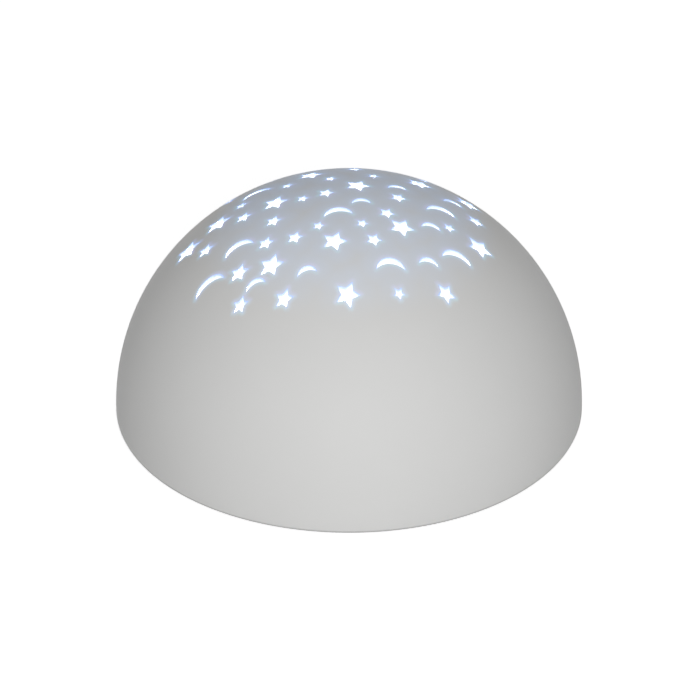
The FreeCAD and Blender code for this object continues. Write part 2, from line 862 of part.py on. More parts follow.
def contact(name, left, right, front, spring=None, tab=None):
    """A pressed contact from cell place left to cell place right, with a spring leaf or a solder tab."""
    y = "front_contact" if front else "-front_contact"
    middle = f"({left} + {right}) * cell_pitch / 2"
    wide = f"contact_width + ({right} - {left}) * cell_pitch"
    sizes = (wide, "contact_thickness", "contact_height")
    solids = [block(f"{name}_plate", *sizes, middle, y, "contact_under")]
    if spring is not None:
        solids.append(contact_leaf(name, f"{spring} * cell_pitch", front))
    if tab is not None:
        rise = "tab_top - contact_top"
        x = f"{tab} * cell_pitch"
        solids.append(block(f"{name}_tab", "tab_width", "contact_thickness", rise, x, y, "contact_top"))
    item = fused(f"{name}_pressing", solids) if len(solids) > 1 else solids[0]
    hand_over(item, name)


def make_contacts():
    """Four pressed contacts join the three cells in a row."""
    contact("contact_plate_positive", -1, -1, front=True, tab=-1)
    contact("contact_link_rear", -1, 0, front=False, spring=-1)
    contact("contact_link_front", 0, 1, front=True, spring=0)
    contact("contact_spring_negative", 1, 1, front=False, spring=1, tab=1)


def make_board():
    """The lamp board on its posts, with its screws."""
    plate = block("board_plate", "board_length", "board_width", "board_thickness", z="board_under")
    holes = []
    screws = []
    hole = "board_screw_shank + 2 * shank_clearance"
    sizes = ("board_screw_head", "board_screw_head_height", "board_screw_shank", "board_screw_length")
    for x, y in board_spots():
        holes.append(rod("board_hole", hole, "board_thickness", x, y, "board_under"))
        screws.append(screw("board_screw", *sizes, z="board_top", x=x, y=y))
    hand_over(cut("board", plate, holes), "lamp_board")
    hand_over(group("board_screw_set", screws), "board_screws")


def make_lamp():
    """The flat-topped light source that stands on the middle of the board."""
    outline = [
        ("0", "0"),
        ("led_flange / 2", "0"),
        ("led_flange / 2", "led_flange_height"),
        ("led_diameter / 2", "led_flange_height"),
        ("led_diameter / 2", "led_height"),
        ("0", "led_height"),
    ]
    lamp = turned("lamp", outline)
    place(lamp, z="board_top")
    hand_over(lamp, "projector_led")


def make_board_parts():
    """The driver chip with its legs, a row of resistors and a round capacitor."""
    y = "-chip_offset"
    solids = [block("chip", "chip_length", "chip_width", "chip_height", "0", y, "board_top")]
    sizes = ("chip_leg_width", "chip_leg_length", "chip_leg_height")
    for number in range(4):
        x = f"({number} - 1.5) * chip_leg_pitch"
        for side in ("+", "-"):
            leg_y = f"{y} {side} (chip_width + chip_leg_length) / 2"
            solids.append(block("leg", *sizes, x, leg_y, "board_top"))
    hand_over(group("chip_set", solids), "driver_chip")
    sizes = ("resistor_length", "resistor_width", "resistor_height")
    resistors = []
    for number in range(4):
        y = f"({number} - 1.5) * resistor_pitch"
        resistors.append(block("resistor", *sizes, "resistor_offset", y, "board_top"))
    hand_over(group("resistor_set", resistors), "board_resistors")
    can = rod("can", "capacitor_diameter", "capacitor_height", "-capacitor_offset", "0", "board_top")
    hand_over(can, "board_capacitor")


def make_switch():
    """The slide switch on its tray: steel bracket, housing, sliding stem, terminals, screws and knob."""
    plate = block(
        "bracket", "bracket_width", "bracket_length", "bracket_thickness", "switch_offset", z="tray_top"
    )
    holes = [stem_slot("bracket_slot", "bracket_thickness", "tray_top")]
    screws = []
    sizes = ("switch_screw_head", "switch_screw_head_height", "switch_screw_shank", "switch_screw_length")
    hole = "switch_screw_shank + 2 * shank_clearance"
    for side in ("-", ""):
        y = f"{side}switch_screw_pitch / 2"
        holes.append(rod("bracket_hole", hole, "bracket_thickness", "switch_offset", y, "tray_top"))
        screws.append(screw("switch_screw", *sizes, z="bracket_top", x="switch_offset", y=y))
    hand_over(cut("switch_plate", plate, holes), "switch_bracket")
    hand_over(group("switch_screw_set", screws), "switch_screws")
    shell = block(
        "housing", "housing_width", "housing_length", "housing_height", "switch_offset", z="bracket_top"
    )
    room = block(
        "slider_room",
        "slider_width + 2 * slider_gap",
        "slider_length + switch_travel + 2 * slider_gap",
        "slider_height + 2 * slider_lift",
        "switch_offset",
        z="bracket_top",
    )
    hand_over(cut("switch_shell", shell, [room]), "switch_housing")
    terminals = []
    sizes = ("terminal_thickness", "terminal_width", "terminal_height")
    for number in (-1, 0, 1):
        y = f"{number} * terminal_pitch"
        terminals.append(block("terminal", *sizes, "switch_offset", y, "housing_top"))
    hand_over(group("terminal_set", terminals), "switch_terminals")
    make_slider()


def make_slider():
    """The two pieces that slide: the switch's stem on its slider, and the knob pushed on it."""
    rest = ("switch_offset", "switch_rest")
    slider = block(
        "slider", "slider_width", "slider_length", "slider_height", *rest, "bracket_top + slider_lift"
    )
    rise = "bracket_top + slider_lift - (knob_top - stem_grip)"
    stem = block("stem", "stem_width", "stem_length", rise, *rest, "knob_top - stem_grip")
    hand_over(fused("slider_and_stem", [slider, stem]), "switch_actuator")
    blank = block("knob", "knob_width", "knob_length", "knob_top - knob_under", *rest, "knob_under")
    socket = block(
        "knob_socket",
        "stem_width + 2 * stem_fit",
        "stem_length + 2 * stem_fit",
        "stem_grip",
        *rest,
        "knob_top - stem_grip",
    )
    cuts = [socket]
    sizes = ("knob_width", "knob_groove", "knob_groove")
    for number in range(SIZES["knob_grooves"]):
        y = f"switch_rest + ({number} - (knob_grooves - 1) / 2) * knob_groove_pitch"
        cuts.append(block("groove", *sizes, "switch_offset", y, "knob_under"))
    hand_over(cut("knob_cap", blank, cuts), "switch_knob")


def wire_path(points):
    """Straight runs joined by tangent arcs, each arc as large as its two runs allow."""
    edges = []
    radii = []
    start = points[0]
    for before, corner, after in zip(points, points[1:], points[2:]):
        inward = (before - corner).normalize()
        outward = (after - corner).normalize()
        half_turn = (math.pi - inward.getAngle(outward)) / 2
        reach = 0.45 * min((before - corner).Length, (after - corner).Length)
        radius = reach / math.tan(half_turn)
        middle = (inward + outward).normalize()
        crest = corner + middle * (radius / math.cos(half_turn) - radius)
        enter = corner + inward * reach
        leave = corner + outward * reach
        edges.append(Part.LineSegment(start, enter).toShape())
        edges.append(Part.Arc(enter, crest, leave).toShape())
        radii.append(radius)
        start = leave
    edges.append(Part.LineSegment(start, points[-1]).toShape())
    return Part.Wire(edges), radii


def wire(name, points):
    """A hook-up wire along a route, checked against its section times its length."""
    path, radii = wire_path(points)
    radius = value("wire_diameter") / 2
    sides = SIZES["wire_sides"]
    ring = [points[0] + Vector(0, radius, 0)]
    for side in range(1, sides + 1):
        angle = 2 * math.pi * side / sides
        ring.append(points[0] + Vector(radius * math.sin(angle), radius * math.cos(angle), 0))
    section = Part.makePolygon(ring)
    tube = path.makePipeShell([section], True, False)
    expected = Part.Face(section).Area * path.Length
    if abs(tube.Volume - expected) > 0.01 * expected:
        raise SystemExit(f"{name}: volume {tube.Volume:.2f}, expected {expected:.2f}")
    print(name, "length", round(path.Length, 1), "radii", [round(radius, 1) for radius in radii])
    item = doc.addObject("Part::Feature", f"{name}_tube")
    item.Shape = tube
    hand_over(item, name)


def spot(x, y, z):
    """A point from three formulas."""
    return Vector(value(x), value(y), value(z))


def make_wires():
    """Three wires: cells to switch, switch to board, and cells straight to the board."""
    rise = Vector(0, 0, value("wire_rise"))
    drop = Vector(0, 0, value("wire_drop"))
    positive = spot("-cell_pitch", "front_contact", "tab_top")
    first_pin = spot("switch_offset", "-terminal_pitch", "housing_top + terminal_height")
    crest = spot("board_width / 4", "front_contact", "wire_crest")
    x = "switch_offset - 1.5 * tray_width"
    outer = spot(x, "2 * front_contact / 3", "wire_crest - 2 * wire_diameter")
    wire("battery_lead_red", [positive, positive + rise, crest, outer, first_pin + rise, first_pin])
    middle_pin = spot("switch_offset", "0", "housing_top + terminal_height")
    pad = spot("board_length / 2 - wire_pad_inset", "0", "board_top")
    crest = spot("(switch_offset + board_length / 2) / 2", "wire_diameter", "wire_crest")
    wire("switch_lead_red", [middle_pin, middle_pin + rise, crest, pad + drop, pad])
    negative = spot("cell_pitch", "-front_contact", "tab_top")
    pad = spot("wire_pad_offset", "board_width / 2 - wire_pad_inset", "board_top")
    wire("battery_lead_black", [negative, negative + rise, pad + drop, pad])


def check_and_write():
    """Stop on any failed object or unsound shape, then write each sub-part."""
    doc.recompute()
    failed = [item.Name for item in doc.Objects if "Invalid" in item.State or "Error" in item.State]
    if failed:
        raise SystemExit(f"failed objects: {failed}")
    for item in NODES:
        if item.Shape.isNull() or not item.Shape.isValid() or not item.Shape.Solids:
            raise SystemExit(f"unsound shape: {item.Label}")
    os.makedirs("parts", exist_ok=True)
    for item in NODES:
        item.Shape.exportStep(f"parts/{item.Label}.step")
        print(item.Label, len(item.Shape.Solids), round(item.Shape.Volume, 1))


fill_sheet()
make_dome()
recesses = make_feet()
make_base(recesses)
make_door()
make_door_fastening()
make_base_screws()
make_cells()
make_contacts()
make_board()
make_lamp()
make_board_parts()
make_switch()
make_wires()
check_and_write()
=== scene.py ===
import logging
import math
from collections.abc import Iterable, Sequence
from dataclasses import dataclass, field
from enum import Enum, IntEnum
from functools import cache

import bmesh
import bpy
from mathutils import Matrix, Vector
from mathutils.bvhtree import BVHTree


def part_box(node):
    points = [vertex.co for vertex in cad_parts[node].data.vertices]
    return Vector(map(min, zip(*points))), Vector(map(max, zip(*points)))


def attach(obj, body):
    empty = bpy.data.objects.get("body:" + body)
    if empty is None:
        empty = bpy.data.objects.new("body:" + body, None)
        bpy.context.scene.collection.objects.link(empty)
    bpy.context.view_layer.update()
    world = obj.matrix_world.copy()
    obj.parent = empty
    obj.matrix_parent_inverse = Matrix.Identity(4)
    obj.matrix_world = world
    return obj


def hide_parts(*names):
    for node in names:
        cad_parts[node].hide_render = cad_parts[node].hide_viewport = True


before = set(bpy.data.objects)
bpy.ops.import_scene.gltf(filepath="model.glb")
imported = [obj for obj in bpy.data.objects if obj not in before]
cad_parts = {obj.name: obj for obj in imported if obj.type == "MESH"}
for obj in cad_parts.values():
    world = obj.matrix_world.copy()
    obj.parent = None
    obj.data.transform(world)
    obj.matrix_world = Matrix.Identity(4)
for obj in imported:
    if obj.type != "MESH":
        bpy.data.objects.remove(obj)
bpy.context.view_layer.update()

# Star night light projector. Each form is shaped in millimetres and scaled to metres when it is finished.

LOG = logging.getLogger("star_night_light")
MM = 0.001
MERGE_DISTANCE = 1e-4
CREASE_DEGREES = 35.0
SHADE_RANGE = (0.3, 0.7)
MARK_RANGE = (0.42, 0.66)
CORNER_ANGLES = [math.radians(45.0 + 90.0 * number) for number in range(4)]
Triple = tuple[float, float, float]
Colour = Triple
Form = bmesh.types.BMesh
Ring = list[bmesh.types.BMVert]
Mesh = bpy.types.Mesh
Object = bpy.types.Object
Material = bpy.types.Material
Tree = bpy.types.NodeTree
Node = bpy.types.Node
Socket = bpy.types.NodeSocket


class Body(str, Enum):
    """The bodies of the lamp that a piece can ride on."""

    LAMP = "lamp"
    SLIDER = "switch_slider"
    DOOR = "battery_door"
    DOOR_SCREW = "battery_door_screw"


def node_box(node: str) -> tuple[Vector, Vector, Vector]:
    """The lowest corner, the highest corner and the middle of a CAD node's box, in millimetres."""
    low, high = (Vector(corner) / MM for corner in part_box(node))
    return low, high, (low + high) / 2.0


# Shader groups and finishes


class Graph:
    """Places and joins the nodes of one shader tree."""

    def __init__(self, tree: Tree) -> None:
        """Keep the tree.

        Args:
            tree: The node tree of a material or a group.
        """
        self.tree = tree

    def add(self, kind: str, inputs: dict[str, object] | None = None, **settings: object) -> Node:
        """Place a node.

        Args:
            kind: Blender's name of the node type.
            inputs: A value or an output socket for each input, by its name or its number.
            **settings: Properties of the node itself.

        Returns:
            The new node.
        """
        node = self.tree.nodes.new(kind)
        for name, value in settings.items():
            setattr(node, name, value)
        self.feed(node, inputs or {})
        return node

    def feed(self, node: Node, inputs: dict[str, object]) -> None:
        """Give inputs of a node their values.

        Args:
            node: The node.
            inputs: A value or an output socket for each input, by its name or its number.
        """
        for name, value in inputs.items():
            self.give(node.inputs[int(name)] if name.isdigit() else node.inputs[name], value)

    def give(self, socket: Socket, value: object) -> None:
        """Join an input socket to an output socket, or set its value.

        Args:
            socket: The input socket.
            value: An output socket or a plain value.
        """
        if isinstance(value, Socket):
            self.tree.links.new(value, socket)
        else:
            socket.default_value = value

    @staticmethod
    def fed(node: Node, name: str) -> Socket:
        """The output socket that a named input of a node is joined to."""
        return node.inputs[name].links[0].from_socket

    def math(self, operation: str, first: object, second: object = 0.0) -> Socket:
        """Join two values by one operation and return the result's socket."""
        return self.add("ShaderNodeMath", {"0": first, "1": second}, operation=operation).outputs[0]

    def remap(
        self, value: object, low: float, high: float, to_low: float, to_high: float, smooth: bool = False
    ) -> Socket:
        """Map a value from one range to another, clamped.

        Args:
            value: The socket that is read.
            low: Start of the range that is read.
            high: End of the range that is read.
            to_low: Result at the start.
            to_high: Result at the end.
            smooth: Whether the ends ease in and out.

        Returns:
            The socket of the result.
        """
        inputs = {"Value": value, "From Min": low, "From Max": high, "To Min": to_low, "To Max": to_high}
        kind = "SMOOTHSTEP" if smooth else "LINEAR"
        return self.add("ShaderNodeMapRange", inputs, interpolation_type=kind).outputs["Result"]

    def noise(self, where: Socket, scale: object, detail: float) -> Socket:
        """Place a noise texture and return its value's socket."""
        inputs = {"Vector": where, "Scale": scale, "Detail": detail}
        return self.add("ShaderNodeTexNoise", inputs).outputs["Fac"]

    def blend(self, factor: object, first: object, second: object) -> Socket:
        """Mix two colours.

        Args:
            factor: Share of the second colour, as a number or a socket.
            first: The first colour or its socket.
            second: The second colour or its socket.

        Returns:
            The socket of the result.
        """
        node = self.add("ShaderNodeMix", {"Factor": factor}, data_type="RGBA")
        for name, value in (("A", first), ("B", second)):
            socket = next(s for s in node.inputs if s.name == name and s.type == "RGBA")
            self.give(socket, value if isinstance(value, Socket) else (*value, 1.0))
        return next(s for s in node.outputs if s.type == "RGBA")


def shader_group(name: str, vectors: Sequence[str], floats: Sequence[str], outputs: Sequence[str]) -> Graph:
    """Start a shader node group with named sockets.

    Args:
        name: Name of the group.
        vectors: Names of its vector inputs.
        floats: Names of its value inputs.
        outputs: Names of its value outputs.

    Returns:
        The group's graph, with its input node named Source and its output node named Sink.
    """
    tree = bpy.data.node_groups.new(name, "ShaderNodeTree")
    rows = (("INPUT", "Vector", vectors), ("INPUT", "Float", floats), ("OUTPUT", "Float", outputs))
    for way, kind, labels in rows:
        for label in labels:
            tree.interface.new_socket(name=label, in_out=way, socket_type=f"NodeSocket{kind}")
    graph = Graph(tree)
    graph.add("NodeGroupInput", name="Source")
    graph.add("NodeGroupOutput", name="Sink")
    return graph


@cache
def mould_grain() -> Tree:
    """Spark grain of a mould, as a shader group: a fine height, and a slow drift of shade.

    Returns:
        The group's tree.
    """
    graph = shader_group("mould_grain", ["Vector"], ["Grain", "Drift"], ["Height", "Shade"])
    given = graph.tree.nodes["Source"].outputs
    fine = graph.noise(given["Vector"], given["Grain"], 3.0)
    slow = graph.noise(given["Vector"], given["Drift"], 2.0)
    graph.feed(graph.tree.nodes["Sink"], {"Height": fine, "Shade": graph.remap(slow, *SHADE_RANGE, 0.0, 1.0)})
    return graph.tree


@cache
def mark_mask() -> Tree:
    """Fine rubbing marks that run one way, as a shader group with a mask.

    Returns:
        The group's tree.
    """
    graph = shader_group("rub_marks", ["Vector", "Stretch"], ["Scale"], ["Mask"])
    given = graph.tree.nodes["Source"].outputs
    drawn = graph.add("ShaderNodeMapping", {"Vector": given["Vector"], "Scale": given["Stretch"]})
    noise = graph.noise(drawn.outputs["Vector"], given["Scale"], 4.0)
    graph.feed(graph.tree.nodes["Sink"], {"Mask": graph.remap(noise, *MARK_RANGE, 0.0, 1.0)})
    return graph.tree


def principled(name: str) -> tuple[Material, Graph, Node]:
    """Make a material that uses nodes.

    Args:
        name: Name of the material.

    Returns:
        The material, its graph and its Principled shader.
    """
    material = bpy.data.materials.new(name)
    material.use_nodes = True
    return material, Graph(material.node_tree), material.node_tree.nodes["Principled BSDF"]


def rub_marks(graph: Graph, where: Socket, scale: float, stretch: Triple) -> Socket:
    """Lay rubbing marks along one direction and return the socket of their mask."""
    inputs = {"Vector": where, "Scale": scale, "Stretch": stretch}
    return graph.add("ShaderNodeGroup", inputs, node_tree=mark_mask()).outputs["Mask"]


@dataclass(frozen=True)
class Finish:
    """A surface finish with a colour of its own and a slight drift of shade.

    Attributes:
        name: Name of the material.
        colour: Linear base colour.
        roughness: Middle roughness.
        drift: How far the shade drifts, as a share of the colour.
        grain: Scale of the fine grain.
        bump: Depth of the grain in millimetres.
        bump_strength: Share of that depth that shows.
        drift_scale: Scale of the drift of shade.
        rough_swing: How far the roughness follows the shade, as a share of itself.
    """

    name: str
    colour: Colour
    roughness: float = 0.45
    drift: float = 0.03
    grain: float = 2600.0
    bump: float = 0.01
    bump_strength: float = 0.35
    drift_scale: float = 22.0
    rough_swing: float = 0.08

    def material(self) -> Material:
        """Make the material.

        Returns:
            The new material.
        """
        material, graph, shader = principled(self.name)
        where = graph.add("ShaderNodeTexCoord").outputs["Object"]
        self.surface(graph, where, shader)
        self.dress(graph, where, shader)
        return material

    def surface(self, graph: Graph, where: Socket, shader: Node) -> None:
        """Lay the colour, the grain and the drift of shade on the shader.

        Args:
            graph: The material's graph.
            where: The coordinates' socket.
            shader: The Principled shader.
        """
        inputs = {"Vector": where, "Grain": self.grain, "Drift": self.drift_scale}
        grain = graph.add("ShaderNodeGroup", inputs, node_tree=mould_grain()).outputs
        dark = tuple(c * (1.0 - self.drift) for c in self.colour)
        rough = [self.roughness * (1.0 + way * self.rough_swing) for way in (-1.0, 1.0)]
        depth = {"Height": grain["Height"], "Strength": self.bump_strength, "Distance": self.bump * MM}
        graph.feed(shader, {
            "Base Color": graph.blend(grain["Shade"], dark, self.colour),
            "Roughness": graph.remap(grain["Shade"], 0.0, 1.0, *rough),
            "Normal": graph.add("ShaderNodeBump", depth).outputs["Normal"],
        })

    def dress(self, graph: Graph, where: Socket, shader: Node) -> None:
        """Add what is special to a finish; a plain moulding has nothing more.

        Args:
            graph: The material's graph.
            where: The coordinates' socket.
            shader: The Principled shader, with the colour and the grain on it.
        """


@dataclass(frozen=True)
class DomeSkin(Finish):
    """Outside of the dome: satin white, with blue, violet and teal light round the openings.

    Attributes:
        halo: Width of the lit edge in millimetres.
        crown_halo: Linear colour of that light on the crown's side of an opening.
        rim_halo: Linear colour of that light on the rim's side.
        veil: Width of the faint light further out in millimetres.
        veil_colour: Linear colour of the faint light.
        veil_foot: Height where the faint light starts in millimetres.
        veil_head: Height where it is full in millimetres.
        fade: How fast the light of the lit edge falls off.
        gloss: Level of the surface reflection.
        rim_painted_shade: Share of the colour that is left at the foot of the rim, as a painted shade where
            the bevel faces down.
        rim_foot: Height of the foot of the rim, where that painted shade is darkest, in millimetres.
        rim_head: Height where the painted shade ends and the full colour starts, in millimetres.
    """

    halo: float = 2.0
    crown_halo: Colour = (0.06, 0.07, 0.22)
    rim_halo: Colour = (0.01, 0.14, 0.20)
    veil: float = 12.0
    veil_colour: Colour = (0.004, 0.040, 0.105)
    veil_foot: float = 66.0
    veil_head: float = 80.0
    fade: float = 1.6
    gloss: float = 0.1
    rim_painted_shade: float = 0.4
    rim_foot: float = 2.2
    rim_head: float = 3.2

    def dress(self, graph: Graph, where: Socket, shader: Node) -> None:
        """Add the light round the openings, and paint shade on the foot of the rim, where its bevel faces
        down.

        Args:
            graph: The material's graph.
            where: The coordinates' socket.
            shader: The Principled shader, with the colour and the grain on it.
        """
        gap = graph.add("ShaderNodeAttribute", attribute_name="opening_gap").outputs["Fac"]
        side = graph.add("ShaderNodeAttribute", attribute_name="rim_side").outputs["Fac"]
        near = graph.math("POWER", graph.remap(gap, 0.0, self.halo, 1.0, 0.0, smooth=True), self.fade)
        halo = graph.blend(graph.remap(side, -1.0, 1.0, 0.0, 1.0), self.crown_halo, self.rim_halo)
        height = graph.add("ShaderNodeSeparateXYZ", {"Vector": where}).outputs["Z"]
        high = graph.remap(height, self.veil_foot * MM, self.veil_head * MM, 0.0, 1.0, smooth=True)
        far = graph.math("MULTIPLY", graph.remap(gap, 0.0, self.veil, 1.0, 0.0, smooth=True), high)
        veil = graph.blend(far, (0.0, 0.0, 0.0), self.veil_colour)
        # Painted shade: the base colour darkens towards the foot of the rim, where the bevel faces down.
        rim = graph.remap(height, self.rim_foot * MM, self.rim_head * MM, self.rim_painted_shade, 1.0)
        graph.feed(shader, {
            "Emission Color": graph.blend(near, veil, halo),
            "Emission Strength": 1.0,
            "Specular IOR Level": self.gloss,
            "Base Color": graph.blend(rim, (0.0, 0.0, 0.0), graph.fed(shader, "Base Color")),
        })


@dataclass(frozen=True)
class LitSkin(Finish):
    """Inside of the dome and walls of its openings, lit by the light source.

    Attributes:
        glow: Linear colour of the light at full depth.
        edge_glow: Linear colour of the light at the outer edge.
        outer: Radius of the outer edge in millimetres.
        inner: Radius where the full light starts in millimetres.
        equator: Height of the ball's centre in millimetres.
        strength: Strength of the light.
    """

    glow: Colour = (0.90, 0.96, 1.0)
    edge_glow: Colour = (0.55, 0.72, 1.0)
    outer: float = 82.5
    inner: float = 81.4
    equator: float = 3.5
    strength: float = 0.92

    def dress(self, graph: Graph, where: Socket, shader: Node) -> None:
        """Add the light, bluer towards the outer edge.

        Args:
            graph: The material's graph.
            where: The coordinates' socket.
            shader: The Principled shader, with the colour and the grain on it.
        """
        centre = (0.0, 0.0, self.equator * MM)
        away = graph.add("ShaderNodeVectorMath", {"0": where, "1": centre}, operation="SUBTRACT").outputs[0]
        reach = graph.add("ShaderNodeVectorMath", {"0": away}, operation="LENGTH").outputs["Value"]
        far = graph.remap(reach, self.inner * MM, self.outer * MM, 0.0, 1.0, smooth=True)
        light = graph.blend(far, self.glow, self.edge_glow)
        graph.feed(shader, {"Emission Color": light, "Emission Strength": self.strength})


@dataclass(frozen=True)
class PlatedMetal(Finish):
    """Plated or drawn metal with fine marks along one direction.

    Attributes:
        stretch: Scale of the marks along X, Y and Z.
        marks: Scale of the marks as a whole.
        smoothest: Least roughness, as a share of the middle one.
        roughest: Greatest roughness, as a share of the middle one.
    """

    stretch: Triple = (1.0, 1.0, 12.0)
    marks: float = 420.0
    smoothest: float = 0.75
    roughest: float = 1.35

    def dress(self, graph: Graph, where: Socket, shader: Node) -> None:
        """Make it metal and lay the marks on its roughness.

        Args:
            graph: The material's graph.
            where: The coordinates' socket.
            shader: The Principled shader, with the colour and the grain on it.
        """
        rough = [self.roughness * share for share in (self.smoothest, self.roughest)]
        marks = rub_marks(graph, where, self.marks, self.stretch)
        graph.feed(shader, {"Metallic": 1.0, "Roughness": graph.remap(marks, 0.0, 1.0, *rough)})


@dataclass(frozen=True)
class RubbedPlastic(Finish):
    """A moulding whose faces carry light rubbing marks, as on a base that slides on a shelf.

    Attributes:
        rubbed: Linear colour of the marks.
        stretch: Scale of the marks along X, Y and Z.
        marks: Scale of the marks as a whole.
        share: How much of their colour the marks have.
    """

    rubbed: Colour = (0.62, 0.62, 0.6)
    stretch: Triple = (1.0, 9.0, 4.0)
    marks: float = 95.0
    share: float = 0.12

    def dress(self, graph: Graph, where: Socket, shader: Node) -> None:
        """Lay thin marks over the colour.

        Args:
            graph: The material's graph.
            where: The coordinates' socket.
            shader: The Principled shader, with the colour and the grain on it.
        """
        share = graph.math("MULTIPLY", rub_marks(graph, where, self.marks, self.stretch), self.share)
        graph.feed(shader, {"Base Color": graph.blend(share, graph.fed(shader, "Base Color"), self.rubbed)})


@dataclass(frozen=True)
class BoardMask(Finish):
    """Solder mask over copper tracks.

    Attributes:
        track: Linear colour over a track.
        scale: Scale of the fields between the tracks.
        track_range: Distance from a field's middle where a track starts, and where it is full.
    """

    track: Colour = (0.03, 0.19, 0.07)
    scale: float = 260.0
    track_range: tuple[float, float] = (0.42, 0.5)

    def dress(self, graph: Graph, where: Socket, shader: Node) -> None:
        """Let the tracks show through the mask.

        Args:
            graph: The material's graph.
            where: The coordinates' socket.
            shader: The Principled shader, with the colour and the grain on it.
        """
        inputs = {"Vector": where, "Scale": self.scale}
        away = graph.add("ShaderNodeTexVoronoi", inputs, distance="MANHATTAN").outputs["Distance"]
        edge = graph.remap(away, *self.track_range, 0.0, 1.0)
        graph.feed(shader, {"Base Color": graph.blend(edge, graph.fed(shader, "Base Color"), self.track)})


@dataclass(frozen=True)
class LampLens(Finish):
    """Clear resin of the light source with the light coming out of it.

    Attributes:
        glow: Linear colour of the light at the top.
        foot: Height of the lens's foot in millimetres.
        head: Height of its top in millimetres.
        foot_share: Share of the light at the foot.
        coat: Weight of the clear coat.
    """

    glow: Colour = (0.82, 0.92, 1.0)
    foot: float = 27.4
    head: float = 34.4
    foot_share: float = 0.7
    coat: float = 0.5

    def dress(self, graph: Graph, where: Socket, shader: Node) -> None:
        """Add the light, stronger towards the top.

        Args:
            graph: The material's graph.
            where: The coordinates' socket.
            shader: The Principled shader, with the colour and the grain on it.
        """
        height = graph.add("ShaderNodeSeparateXYZ", {"Vector": where}).outputs["Z"]
        top = graph.remap(height, self.foot * MM, self.head * MM, 0.0, 1.0)
        light = graph.blend(top, tuple(c * self.foot_share for c in self.glow), self.glow)
        graph.feed(shader, {"Emission Color": light, "Emission Strength": 1.0, "Coat Weight": self.coat})


class Finishes:
    """Every finish of the lamp, made once."""

    def __init__(self) -> None:
        """Make the materials."""
        white = (0.72, 0.72, 0.712)
        self.dome = DomeSkin("dome_satin_white", white, roughness=0.52, drift=0.015, bump=0.008).material()
        self.dome_inside = LitSkin("dome_lit_inside", (0.3, 0.3, 0.3), roughness=0.6).material()
        self.opening_wall = LitSkin(
            "opening_lit_wall", (0.4, 0.42, 0.45), roughness=0.5, inner=80.9, edge_glow=(0.22, 0.36, 0.78)
        ).material()
        dull_white = (0.66, 0.66, 0.65)
        self.base = RubbedPlastic("base_satin_white", dull_white, roughness=0.5, bump=0.02).material()
        self.door = RubbedPlastic("door_satin_white", dull_white, roughness=0.46, bump=0.02).material()
        self.rubber = Finish("foot_rubber", (0.028, 0.028, 0.03), 0.75, 0.2, 1500.0, 0.04).material()
        self.steel = PlatedMetal("zinc_plated_steel", (0.62, 0.62, 0.63), 0.32).material()
        self.nickel = PlatedMetal("nickel_spring_steel", (0.74, 0.72, 0.68), 0.25).material()
        self.brass = PlatedMetal("turned_brass", (0.72, 0.53, 0.24), 0.3).material()
        self.jacket = Finish("cell_jacket_blue", (0.035, 0.09, 0.2), 0.3, 0.06, 900.0, 0.004).material()
        self.jacket_band = Finish("cell_jacket_band", (0.62, 0.64, 0.66), 0.28, 0.04, 900.0, 0.004).material()
        self.can = PlatedMetal("drawn_can", (0.7, 0.7, 0.72), 0.22, stretch=(9.0, 1.0, 9.0)).material()
        self.board = BoardMask("board_green_mask", (0.018, 0.13, 0.045), 0.35, 0.1, 1200.0, 0.01).material()
        self.chip = Finish("chip_black_resin", (0.02, 0.02, 0.022), 0.55, 0.15, 3000.0, 0.01).material()
        self.resistor = Finish("resistor_glaze", (0.03, 0.03, 0.035), 0.25, 0.2, 2000.0, 0.005).material()
        self.switch = Finish("switch_black_gloss", (0.02, 0.02, 0.022), 0.32, 0.12, 2200.0, 0.01).material()
        red, black = (0.42, 0.012, 0.012), (0.012, 0.012, 0.012)
        self.wire_red = Finish("wire_red_sleeve", red, 0.38, 0.1, 1800.0, 0.01).material()
        self.wire_black = Finish("wire_black_sleeve", black, 0.38, 0.1, 1800.0, 0.01).material()
        self.lens = LampLens("lamp_clear_resin", (0.8, 0.85, 0.9), 0.15, 0.02, 800.0, 0.002).material()


# Shaping helpers


def turn_about(bm: Form, geometry: Iterable[object], steps: int) -> None:
    """Spin a half section once round the Z axis and close its poles.

    Args:
        bm: The mesh.
        geometry: The section's vertices and edges.
        steps: Number of steps of the full turn.
    """
    bmesh.ops.spin(
        bm,
        geom=list(geometry),
        cent=(0.0, 0.0, 0.0),
        axis=(0.0, 0.0, 1.0),
        angle=2.0 * math.pi,
        steps=steps,
        use_merge=True,
    )
    bmesh.ops.remove_doubles(bm, verts=bm.verts, dist=MERGE_DISTANCE)
    bmesh.ops.recalc_face_normals(bm, faces=bm.faces)


def turned(points: Sequence[tuple[float, float]], steps: int = 48) -> Form:
    """A closed turned form.

    Args:
        points: Distance from the axis and height of each corner of its half section, from axis to axis.
        steps: Number of steps of the full turn.

    Returns:
        The new mesh, about the Z axis.
    """
    bm = bmesh.new()
    verts = [bm.verts.new((x, 0.0, z)) for x, z in points]
    edges = [bm.edges.new(pair) for pair in zip(verts, verts[1:])]
    turn_about(bm, [*verts, *edges], steps)
    return bm


def joined(target: Form, source: Form) -> None:
    """Add one form to another.

    Args:
        target: The form that grows.
        source: The form that is added, freed here.
    """
    carrier = bpy.data.meshes.new("carrier")
    source.to_mesh(carrier)
    source.free()
    target.from_mesh(carrier)
    bpy.data.meshes.remove(carrier)


def placed(name: str, data: bpy.types.ID) -> Object:
    """Put a mesh, a light or a camera in the scene.

    Args:
        name: Name of the object.
        data: The mesh, the light or the camera.

    Returns:
        The object.
    """
    item = bpy.data.objects.new(name, data)
    bpy.context.scene.collection.objects.link(item)
    return item


